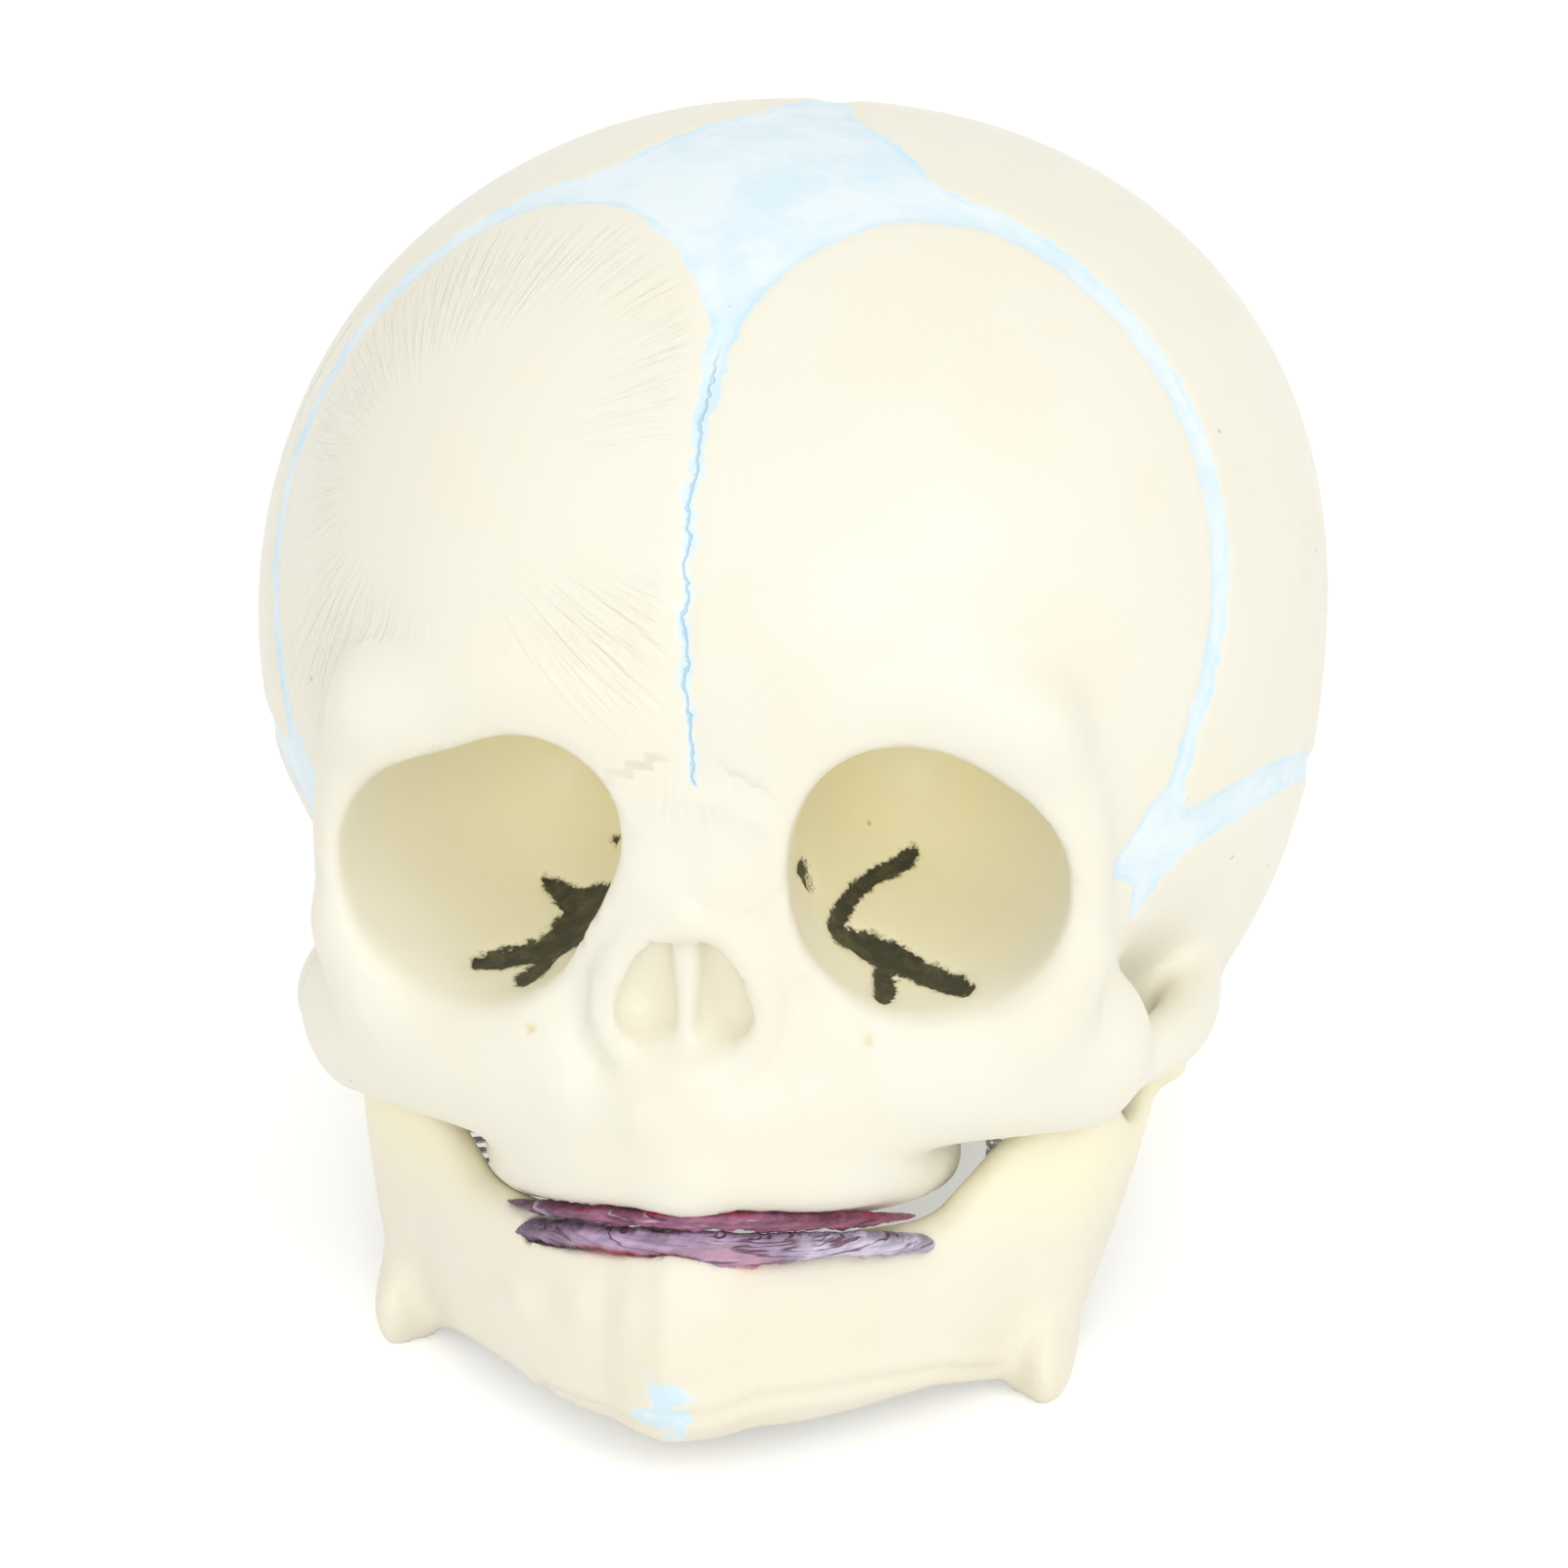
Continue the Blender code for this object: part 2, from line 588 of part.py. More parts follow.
def jaw_blank(collection):
    pieces = []
    for _, side in SIDES:
        pieces.append(jaw_half(collection, side))
        pieces.append(condyle(collection, side))
        angle = spot(GONIAL_SHARES[0], side)
        pieces.append(ellipsoid("angle", collection, angle, extent(GONIAL_SHARES[1])))
    pieces.append(ellipsoid("chin", collection, spot(CHIN_SHARES[0]), extent(CHIN_SHARES[1])))
    return merged("jaw", collection, pieces, JAW_VOXEL, JAW_FACE_SHARE)


def gum(name, collection, places, grown=0):
    tapers = GUM_TAPER_SHARES + GUM_TAPER_SHARES[-2::-1]
    return bake(tube(name, collection, both_sides(places), GUM_RADIUS + grown, tapers))


def nasal_holes(collection):
    radii = Vector((NASAL_HOLE_HALF_WIDTH, NASAL_HOLE_DEPTH, NASAL_HOLE_HALF_HEIGHT))
    return [ellipsoid("nasal_hole", collection, spot(NASAL_HOLE_SHARES, side), radii) for _, side in SIDES]


def foramen_magnum(collection):
    centre = Vector((0, spot(FORAMEN_SHARES).y, VAULT_CENTRE_HEIGHT - BASE_DEPTH))
    radii = (FORAMEN_HALF_WIDTH, FORAMEN_HALF_LENGTH, BASE_DEPTH / 2, 1)
    shape = bmesh.new()
    place = Matrix.Translation(centre) @ Matrix.Diagonal(radii)
    sides = ROUND_SIDES
    bmesh.ops.create_cone(shape, cap_ends=True, segments=sides, radius1=1, radius2=1, depth=1, matrix=place)
    return from_bmesh("foramen_magnum", shape, collection)


# Membranes


def strip(collection, rows, width, clearance=0):
    """A bar through the vault's wall along a suture: rows of azimuth, elevation and share of the width."""
    path = smooth_path([Vector((*aim(row[0], row[1]), row[2])) for row in rows], SUTURE_STEPS)
    for end, beside in ((0, 1), (-1, -2)):
        away = (path[end] - path[beside]).xyz.normalized() * clearance / VAULT_HALF_WIDTH
        path[end] = Vector((*(path[end].xyz + away), path[end].w))
    sections = []
    for k, place in enumerate(path):
        direction = place.xyz.normalized()
        along = (path[min(k + 1, len(path) - 1)] - path[max(k - 1, 0)]).xyz
        half = direction.cross(along).normalized() * (width * place.w / 2 + clearance)
        inner = vault_point(direction, VAULT_WALL + OVERRUN)
        outer = vault_point(direction, -OVERRUN)
        sections.append((inner - half, inner + half, outer + half, outer - half))
    return loft("strip", collection, sections)


def patch(collection, outline, clearance=0, reach=OVERRUN):
    """A plug through the vault's wall, from the outline of a fontanelle in azimuths and elevations."""
    directions = [aim(*place) for place in outline]
    middle = sum(directions, Vector()).normalized()
    rings = []
    for inset in (VAULT_WALL + OVERRUN, -reach):
        ring = []
        for k, direction in enumerate(directions):
            along = directions[(k + 1) % len(directions)] - directions[k - 1]
            outward = direction.cross(along).normalized()
            turned = outward if outward.dot(direction - middle) > 0 else -outward
            ring.append(vault_point(direction, inset) + turned * clearance)
        rings.append(ring)
    return loft("patch", collection, rings)


def mirrored(places):
    return tuple((-place[0], *place[1:]) for place in places)


def across_midline(places):
    """An outline on the left, closed by its mirror image on the right."""
    return places + mirrored(places)[::-1]


def sided(places, side):
    return places if side > 0 else mirrored(places)


def crown_cutters(collection, clearance=0):
    made = [
        patch(collection, across_midline(ANTERIOR_FONTANELLE_DEGREES), clearance, CROWN_REACH),
        strip(collection, METOPIC_DEGREES, METOPIC_WIDTH, clearance),
        strip(collection, SAGITTAL_DEGREES, SAGITTAL_WIDTH, clearance),
    ]
    for _, side in SIDES:
        made.append(strip(collection, sided(CORONAL_DEGREES, side), CORONAL_WIDTH, clearance))
    return made


def nape_cutters(collection, clearance=0):
    made = [patch(collection, across_midline(POSTERIOR_FONTANELLE_DEGREES), clearance)]
    for _, side in SIDES:
        made.append(strip(collection, sided(LAMBDOID_DEGREES, side), LAMBDOID_WIDTH, clearance))
    return made


def temple_cutters(collection, side, clearance=0):
    return [
        patch(collection, sided(SPHENOIDAL_FONTANELLE_DEGREES, side), clearance),
        strip(collection, sided(SQUAMOSAL_DEGREES, side), SQUAMOSAL_WIDTH, clearance),
    ]


def mastoid_cutters(collection, side, clearance=0):
    return [patch(collection, sided(MASTOID_FONTANELLE_DEGREES, side), clearance)]


def membrane(name, parts, cutters, shapes, neighbours):
    """A sheet just under the vault's outside, kept to its sutures and clear of its neighbours."""
    made = star_solid(name, parts, MEMBRANE_INSET)
    combine(made, [star_solid("inside", cutters, MEMBRANE_INSET + MEMBRANE_WALL)], "DIFFERENCE")
    outline = combine(shapes[0], shapes[1:], "UNION")
    combine(made, [outline], "INTERSECT")
    return combine(made, neighbours, "DIFFERENCE")


def membranes(parts, cutters):
    temples = []
    mastoids = []
    for _, side in SIDES:
        temples += temple_cutters(cutters, side, GAP)
        mastoids += mastoid_cutters(cutters, side, GAP)
    nape = nape_cutters(cutters, GAP)
    made = [
        membrane("anterior_fontanelle", parts, cutters, crown_cutters(cutters), nape + temples),
        membrane("posterior_fontanelle", parts, cutters, nape_cutters(cutters), mastoids),
    ]
    for name, side in SIDES:
        shapes = temple_cutters(cutters, side)
        made.append(membrane("sphenoidal_fontanelle_" + name, parts, cutters, shapes, mastoids))
        shapes = mastoid_cutters(cutters, side)
        made.append(membrane("mastoid_fontanelle_" + name, parts, cutters, shapes, []))
    return made


# Saw cuts between the bones


def run_of(shares, side=0):
    """A run of places in plan or upright, on one side or, with side 0, across the midline."""
    left = list(shares)
    if side > 0:
        return left
    right = [(-share[0], *share[1:]) for share in shares]
    return right if side < 0 else right[:0:-1] + left


def upright_cut(collection, plan, low, high):
    """An upright wall over a run of places in plan."""
    rows = [[spot((x, y, z)) for x, y in plan] for z in (low, high)]
    return sheet("cut", collection, rows)


def lengthwise_cut(collection, profile, front, back):
    """A wall running front to back under a run of places seen from the front."""
    rows = [[spot((x, y, z)) for x, z in profile] for y in (front, back)]
    return sheet("cut", collection, rows)


def face_cuts(collection):
    front = FACE_FRONT_SHARE
    back = FACE_BACK_SHARE
    floor = FACE_FLOOR_SHARE
    top = ORBIT_SHARES[2] + (ORBIT_HALF_HEIGHT + VAULT_WALL + OVERRUN) / FACE_HEIGHT
    flank = FACE_BACK_VAULT_SHARE * VAULT_HALF_WIDTH / FACE_HALF_WIDTH
    made = [
        lengthwise_cut(collection, run_of(FACE_TOP_SHARES), front, back),
        upright_cut(collection, run_of(((0, back), (flank, back))), floor, top),
        upright_cut(collection, ((0, front), (0, back)), floor, top),
    ]
    for _, side in SIDES:
        wing = run_of(WING_FRONT_SHARES, side)
        made.append(upright_cut(collection, wing, WING_FLOOR_SHARE, WING_TOP_SHARE))
        rows = [[spot((x, y, WING_FLOOR_SHARE)) for x, y in wing]]
        rows.append([spot((x, WING_BACK_SHARE, WING_FLOOR_SHARE)) for x, _ in wing])
        made.append(sheet("cut", collection, rows))
        made.append(lengthwise_cut(collection, run_of(CHEEK_SUTURE_SHARES, side), front, back))
        (inner, y, low), (outer, _, high) = ARCH_SUTURE_SHARES
        made.append(upright_cut(collection, run_of(((inner, y), (outer, y)), side), low, high))
        nasal = run_of(NASAL_SUTURE_SHARES, side)
        made.append(lengthwise_cut(collection, nasal, front, NASAL_BACK_SHARE))
    reach = NASAL_SUTURE_SHARES[-1][0] + NASAL_OVERRUN_SHARE
    floor = NASAL_SUTURE_SHARES[-1][1]
    plan = run_of(((0, NASAL_BACK_SHARE), (reach, NASAL_BACK_SHARE)))
    made.append(upright_cut(collection, plan, floor - NASAL_OVERRUN_SHARE, FACE_TOP_SHARES[0][1]))
    profile = run_of(((0, floor), (reach, floor)))
    made.append(lengthwise_cut(collection, profile, front, NASAL_BACK_SHARE))
    return made


def curtain(collection, degrees, shares, side=0):
    """A wall through the braincase's base, standing outwards from the middle of the braincase."""
    path = []
    for azimuth, elevation in degrees:
        direction = aim(azimuth, elevation)
        path.append((direction * vault_radius(direction), CURTAIN_VAULT_SHARE))
    for place in shares:
        path.append((spot(place) - VAULT_CENTRE, CURTAIN_BASE_SHARE))
    turned = [(Vector((-point.x, point.y, point.z)), reach) for point, reach in path]
    if side < 0:
        path = turned
    elif side == 0:
        path = path + turned[-2::-1]
    inner = [VAULT_CENTRE + point * CURTAIN_INNER_SHARE for point, _ in path]
    outer = [VAULT_CENTRE + point * reach for point, reach in path]
    return sheet("cut", collection, (inner, outer))


def base_cuts(collection):
    made = [
        curtain(collection, SPHENOTEMPORAL_DEGREES, SPHENOTEMPORAL_SHARES),
        curtain(collection, (), SQUAMA_LATERAL_SHARES[::-1]),
    ]
    for _, side in SIDES:
        made.append(curtain(collection, OCCIPITOTEMPORAL_DEGREES, OCCIPITOTEMPORAL_SHARES, side))
        made.append(curtain(collection, (), BASILAR_LATERAL_SHARES, side))
    return made


def septum(name, collection, grown=0):
    half, depth, height = SEPTUM_SHARES[1]
    low = spot(SEPTUM_SHARES[0]) - extent((half, depth, height)) - Vector((grown, grown, grown))
    high = spot(SEPTUM_SHARES[0]) + extent((half, depth, height)) + Vector((grown, grown, grown))
    return box(name, collection, low, high)


# Springs and pins


def spring_ends(side):
    """The middles of the pins where the spring's two loops hang."""
    return spot(UPPER_PIN_SHARES, side), spot(LOWER_PIN_SHARES, side)


def pin(name, collection, root, tip, head_end):
    """A round pin along X with a head outside the spring's loop."""
    sections = []
    outward = 1 if tip.x > root.x else -1
    shoulder = head_end - outward * PIN_HEAD_LENGTH
    shank = ((root.x, PIN_RADIUS), (shoulder, PIN_RADIUS))
    head = ((shoulder, PIN_HEAD_RADIUS), (head_end, PIN_HEAD_RADIUS))
    for x, radius in shank + head:
        ring = []
        for k in range(PIN_SIDES):
            angle = 2 * math.pi * k / PIN_SIDES
            ring.append(Vector((x, root.y + radius * math.cos(angle), root.z + radius * math.sin(angle))))
        sections.append(ring)
    return loft(name, collection, sections)


def upper_pin(name, parts, side):
    middle = spot(UPPER_PIN_SHARES, side)
    root = spot((UPPER_PIN_ROOT_SHARE, *UPPER_PIN_SHARES[1:]), side)
    head_end = middle.x + side * (PIN_HEAD_CLEARANCE + PIN_HEAD_LENGTH)
    return pin(name, parts, root, middle, head_end)


def lower_pin(name, parts, side):
    middle = spot(LOWER_PIN_SHARES, side)
    root = spot((LOWER_PIN_ROOT_SHARE, *LOWER_PIN_SHARES[1:]), side)
    head_end = middle.x - side * (PIN_HEAD_CLEARANCE + PIN_HEAD_LENGTH)
    return pin(name, parts, root, middle, head_end)


def pin_hole(cutters, root, mouth):
    """A round hole along X, wider than its pin by the gap and deeper by the gap."""
    inward = 1 if root.x > mouth.x else -1
    sections = []
    for x in (root.x + inward * GAP, mouth.x):
        ring = []
        for k in range(PIN_SIDES):
            angle = 2 * math.pi * k / PIN_SIDES
            radius = PIN_RADIUS + GAP
            ring.append(Vector((x, root.y + radius * math.cos(angle), root.z + radius * math.sin(angle))))
        sections.append(ring)
    return loft("pin_hole", cutters, sections)


def pin_holes(cutters, places, root_share):
    made = []
    for _, side in SIDES:
        root = spot((root_share, *places[1:]), side)
        made.append(pin_hole(cutters, root, spot(places, side)))
    return made


def spring_path(top, bottom):
    """The middle of the wire: a loop round the upper pin, the coil, and a loop round the lower pin."""
    down = (bottom - top).normalized()
    sideways = down.cross(Vector((1, 0, 0)))
    lead = ((bottom - top).length - COIL_PITCH * COIL_TURNS) / 2
    angles = [math.radians(LOOP_START_DEGREES + LOOP_STEP_DEGREES * k) for k in range(LOOP_POINTS)]
    path = [top + LOOP_RADIUS * (sideways * math.sin(angle) - down * math.cos(angle)) for angle in angles]
    for k in range(COIL_TURNS * POINTS_A_TURN + 1):
        phase = 2 * math.pi * k / POINTS_A_TURN
        across = sideways * math.cos(phase) + Vector((math.sin(phase), 0, 0))
        path.append(top + down * (lead + COIL_PITCH * k / POINTS_A_TURN) + COIL_RADIUS * across)
    for angle in reversed(angles):
        path.append(bottom + LOOP_RADIUS * (sideways * math.sin(angle) + down * math.cos(angle)))
    return path


def least_gap(path):
    """The least clear distance from the wire to itself, half a curl or more further along."""
    least = min(
        (path[a] - path[b]).length
        for a in range(len(path))
        for b in range(a + POINTS_A_TURN // 2, len(path))
    )
    return least - 2 * WIRE_RADIUS


def jaw_spring(name, parts, side):
    path = spring_path(*spring_ends(side))
    made = tube(name, parts, path, WIRE_RADIUS, smooth=False)
    made.data.bevel_resolution = 1
    print(name, "least gap to itself", round(least_gap(path) * 1000, 3), "mm")
    return bake(made)


# Bones


def weld(shape):
    """Joins points that a cut left closer together than any real detail, and drops folded slivers."""
    bmesh.ops.triangulate(shape, faces=shape.faces)
    bmesh.ops.remove_doubles(shape, verts=shape.verts, dist=WELD)
    fins = [face for face in shape.faces if any(edge.is_boundary for edge in face.edges)]
    bmesh.ops.delete(shape, geom=fins, context="FACES")


def loose_parts(thing, collection):
    """Each connected piece of a mesh as an object of its own, without the crumbs a cut leaves."""
    whole = bmesh.new()
    whole.from_mesh(thing.data)
    whole.verts.ensure_lookup_table()
    mark = whole.verts.layers.int.new("piece")
    count = 0
    for start in whole.verts:
        if start[mark]:
            continue
        count += 1
        start[mark] = count
        front = [start]
        while front:
            vertex = front.pop()
            for edge in vertex.link_edges:
                other = edge.other_vert(vertex)
                if not other[mark]:
                    other[mark] = count
                    front.append(other)
    found = []
    for number in range(1, count + 1):
        piece = whole.copy()
        layer = piece.verts.layers.int["piece"]
        others = [vertex for vertex in piece.verts if vertex[layer] != number]
        bmesh.ops.delete(piece, geom=others, context="VERTS")
        volume = abs(piece.calc_volume())
        if volume > CRUMB ** 3:
            weld(piece)
            found.append(from_bmesh("loose", piece, collection))
        else:
            piece.free()
    whole.free()
    bpy.data.objects.remove(thing, do_unlink=True)
    return found


def name_parts(found, seeds):
    """Names each loose part after the seed place that lies nearest to it."""
    bpy.context.view_layer.update()
    for name, place in seeds:
        distances = [(piece.closest_point_on_mesh(place)[1] - place).length for piece in found]
        nearest = found[distances.index(min(distances))]
        if nearest.name != "loose" and not nearest.name.startswith("loose."):
            raise ValueError(name + " and " + nearest.name + " are one piece")
        nearest.name = name
    for piece in found:
        if piece.name.startswith("loose"):
            raise ValueError("a piece without a name near " + str(piece.bound_box[0][:]))


def cranium_seeds():
    seeds = [(name, vault_point(aim(*place))) for name, place in VAULT_SEEDS]
    seeds += [(name, spot(place)) for name, place in MIDDLE_SEEDS]
    for side_name, side in SIDES:
        for name, (azimuth, elevation) in VAULT_SIDE_SEEDS:
            seeds.append((name + "_" + side_name, vault_point(aim(side * azimuth, elevation))))
        for name, place in FACE_SIDE_SEEDS:
            seeds.append((name + "_" + side_name, spot(place, side)))
    return seeds


def cranium_bones(parts, cutters):
    blank = carve(cranium_blank(parts), [cavity(cutters)])
    cuts = orbits(cutters) + hollows(cutters) + nasal_holes(cutters)
    cuts += [foramen_magnum(cutters), septum("septum_cut", cutters, GAP)]
    cuts.append(gum("gum_cut", cutters, UPPER_GUM_SHARES, GAP))
    cuts += [condyle(cutters, side, GAP) for _, side in SIDES]
    cuts += pin_holes(cutters, UPPER_PIN_SHARES, UPPER_PIN_ROOT_SHARE)
    cuts += crown_cutters(cutters, GAP) + nape_cutters(cutters, GAP)
    for _, side in SIDES:
        cuts += temple_cutters(cutters, side, GAP) + mastoid_cutters(cutters, side, GAP)
    cuts += face_cuts(cutters) + base_cuts(cutters)
    found = loose_parts(carve(blank, cuts), parts)
    name_parts(found, cranium_seeds())
    return found


def jaw_bones(parts, cutters):
    blank = jaw_blank(parts)
    cuts = [gum("gum_cut", cutters, LOWER_GUM_SHARES, GAP)]
    cuts += pin_holes(cutters, LOWER_PIN_SHARES, LOWER_PIN_ROOT_SHARE)
    half = SYMPHYSIS_WIDTH / 2 / FACE_HALF_WIDTH
    for side in (1, -1):
        plan = ((side * half, FACE_FRONT_SHARE), (side * half, FACE_BACK_SHARE))
        cuts.append(upright_cut(cutters, plan, -JAW_CUT_SHARE, JAW_CUT_SHARE))
    found = loose_parts(carve(blank, cuts), parts)
    seeds = [("mandibular_symphysis", spot(CHIN_SHARES[0]))]
    for name, side in SIDES:
        seeds.append(("mandible_" + name, spot(GONIAL_SHARES[0], side)))
    name_parts(found, seeds)
    return found


# Standing the model up


def coordinates(things):
    clouds = []
    for thing in things:
        cloud = np.empty(len(thing.data.vertices) * 3)
        thing.data.vertices.foreach_get("co", cloud)
        clouds.append(cloud.reshape(-1, 3))
    return np.concatenate(clouds)


def resting_tilt(cranium, jaw):
    """How far the model leans back, so that the occiput and the jaw's angles touch the table together."""
    cranium_cloud = coordinates(cranium)
    jaw_cloud = coordinates(jaw)
    low, high = 0, math.radians(MOST_TILT_DEGREES)
    for _ in range(TILT_STEPS):
        tilt = (low + high) / 2
        down = np.array((0, -math.sin(tilt), math.cos(tilt)))
        if (jaw_cloud @ down).min() < (cranium_cloud @ down).min():
            low = tilt
        else:
            high = tilt
    return Matrix.Rotation(-(low + high) / 2, 4, "X")


def stand_up(cranium, jaw, cutters):
    """Leans the model back, cuts its small feet flat and sets it over the origin; returns how it moved."""
    everything = cranium + jaw
    move = resting_tilt(cranium, jaw)
    for thing in everything:
        thing.data.transform(move)
    cloud = coordinates(everything)
    low, high = cloud.min(axis=0), cloud.max(axis=0)
    floor = low[2] + FOOT_DEPTH
    below = Vector((low[0], low[1], low[2] - OVERRUN))
    for thing in everything:
        if coordinates([thing])[:, 2].min() < floor:
            table = box("table", cutters, below, Vector((high[0], high[1], floor)))
            combine(thing, [table], "DIFFERENCE")
    cloud = coordinates(everything)
    low, high = cloud.min(axis=0), cloud.max(axis=0)
    shift = Matrix.Translation((-(low[0] + high[0]) / 2, -(low[1] + high[1]) / 2, -floor))
    for thing in everything:
        thing.data.transform(shift)
    return shift @ move


def hang_on_hinge(things, place):
    """Ties the jaw's pieces to an empty on the hinge line, whose X axis is the hinge's."""
    hinge = bpy.data.objects.new("jaw_hinge", None)
    hinge.empty_display_size = CONDYLE_HALF_WIDTH
    hinge.location = place
    things[0].users_collection[0].objects.link(hinge)
    for thing in things:
        thing.data.transform(Matrix.Translation(-place))
        thing.parent = hinge


# Materials


def material(name, color, roughness, metallic=0, subsurface=0):
    made = bpy.data.materials.new(name)
    made.use_nodes = True
    shader = made.node_tree.nodes["Principled BSDF"]
    shader.inputs["Base Color"].default_value = (*color, 1)
    shader.inputs["Roughness"].default_value = roughness
    shader.inputs["Metallic"].default_value = metallic
    shader.inputs["Subsurface Weight"].default_value = subsurface
    shader.inputs["Subsurface Scale"].default_value = MEMBRANE_WALL
    return made


def bone_material():
    return material("ivory_plastic", (0.90, 0.85, 0.72), 0.42, subsurface=0.1)


def jaw_material():
    return material("cream_plastic", (0.88, 0.81, 0.66), 0.42, subsurface=0.1)


def membrane_material():
    return material("pale_blue_plastic", (0.72, 0.86, 0.93), 0.38, subsurface=0.1)


def gum_material():
    return material("mauve_plastic", (0.45, 0.26, 0.38), 0.40)


def steel_material():
    return material("bright_steel", (0.62, 0.62, 0.64), 0.28, metallic=1)


def paint(things, made):
    for thing in things:
        thing.data.materials.clear()
        thing.data.materials.append(made)


def main():
    clear_scene()
    parts = fresh_collection("newborn_skull_model")
    cutters = fresh_collection("cutters")
    bones = cranium_bones(parts, cutters)
    skins = membranes(parts, cutters)
    plate = septum("nasal_septum", parts)
    upper = gum("upper_gum", parts, UPPER_GUM_SHARES)
    jaw = jaw_bones(parts, cutters)
    lower = gum("lower_gum", parts, LOWER_GUM_SHARES)
    upper_pins = [upper_pin("upper_spring_pin_" + name, parts, side) for name, side in SIDES]
    lower_pins = [lower_pin("lower_spring_pin_" + name, parts, side) for name, side in SIDES]
    springs = [jaw_spring("jaw_spring_" + name, parts, side) for name, side in SIDES]
    paint(bones + [plate], bone_material())
    paint(jaw, jaw_material())
    paint(skins, membrane_material())
    paint([upper, lower], gum_material())
    paint(upper_pins + lower_pins + springs, steel_material())
    fixed = bones + skins + [plate, upper] + upper_pins + springs
    moving = jaw + [lower] + lower_pins
    move = stand_up(fixed, moving, cutters)
    hinge = move @ Vector((0, *spot(CONDYLE_SHARES).yz))
    hang_on_hinge(moving, hinge)
    print("hinge", [round(value, 6) for value in hinge])
    for name, place in (("upper pin", UPPER_PIN_SHARES), ("lower pin", LOWER_PIN_SHARES)):
        print(name, [round(value, 6) for value in move @ spot(place)])
    print("tilt", round(-math.degrees(move.to_euler().x), 3))
    for helper in cutters.objects:
        helper.hide_render = True
        helper.display_type = "WIRE"


main()
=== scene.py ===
"""Looks of the newborn skull model: one smooth skin over the CAD bones, painted sutures, gums and springs."""

import json
import math

import bmesh
import bpy
import numpy as np
from mathutils import Matrix, Vector
from mathutils.bvhtree import BVHTree


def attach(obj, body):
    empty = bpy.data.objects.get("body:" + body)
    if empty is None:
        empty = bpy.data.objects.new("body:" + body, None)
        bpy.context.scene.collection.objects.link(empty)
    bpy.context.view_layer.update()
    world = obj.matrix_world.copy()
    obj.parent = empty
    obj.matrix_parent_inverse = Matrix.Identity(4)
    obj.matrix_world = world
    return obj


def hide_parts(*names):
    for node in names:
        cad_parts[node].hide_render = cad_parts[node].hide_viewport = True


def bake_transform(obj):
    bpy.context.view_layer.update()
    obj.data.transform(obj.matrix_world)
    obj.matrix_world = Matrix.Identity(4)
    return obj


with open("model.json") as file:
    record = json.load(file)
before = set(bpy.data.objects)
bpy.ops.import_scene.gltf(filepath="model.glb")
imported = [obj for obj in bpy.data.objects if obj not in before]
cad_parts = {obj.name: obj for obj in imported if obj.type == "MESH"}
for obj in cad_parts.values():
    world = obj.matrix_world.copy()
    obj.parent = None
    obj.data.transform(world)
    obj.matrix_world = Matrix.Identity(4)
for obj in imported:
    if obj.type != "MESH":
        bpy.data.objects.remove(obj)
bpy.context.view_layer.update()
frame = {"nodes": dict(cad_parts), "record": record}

# The skull is drawn level, in millimetres, face towards -Y, and then leans back as the CAD model does.
TILT_DEGREES = 12.634
SHIFT = np.array((-0.008, -14.005, -4.85))
GRID_STEP = 0.8
JAW_STEP = 0.6

# Braincase
VAULT_HALF_WIDTH = 46.9
VAULT_FRONT = 47.6
VAULT_BACK = 60.3
VAULT_TOP = 47.2
VAULT_BOTTOM = 55.0
VAULT_CENTRE = np.array((0, 0, 57.0))
VAULT_WALL = 2.2
VAULT_ROUNDNESS = 2.19
BASE_DEPTH = 40.2
BASE_SLOPE_DEGREES = 16
BASE_SHARPNESS = 8

# Face: its half width, reach forwards and height, of which the places below are shares
FACE = np.array((36.5, -47.0, 57.0))
FACE_SPAN = np.array((36.5, 47.0, 57.0))
SIDES = (1, -1)
GAP = 0.3

MIDLINE_BLOBS = (
    ((0.00, 0.80, 0.84), (0.16, 0.13, 0.21), 3.5),
    ((0.00, 0.57, 0.42), (0.41, 0.36, 0.06), 2.0),
    ((0.00, 0.28, 0.58), (0.36, 0.28, 0.16), 3.0),
    ((0.00, 0.02, 0.37), (0.19, 0.21, 0.07), 3.0),
    ((0.00, 0.79, 0.47), (0.42, 0.21, 0.10), 4.0),
)
SIDE_BLOBS = (
    ((0.93, 0.14, 0.49), (0.14, 0.13, 0.09), 3.0),
    ((0.72, -0.17, 0.42), (0.30, 0.21, 0.12), 4.0),
    ((0.23, -0.18, 0.27), (0.09, 0.13, 0.05), 2.0),
    ((0.20, 0.77, 0.44), (0.30, 0.18, 0.11), 3.0),
)
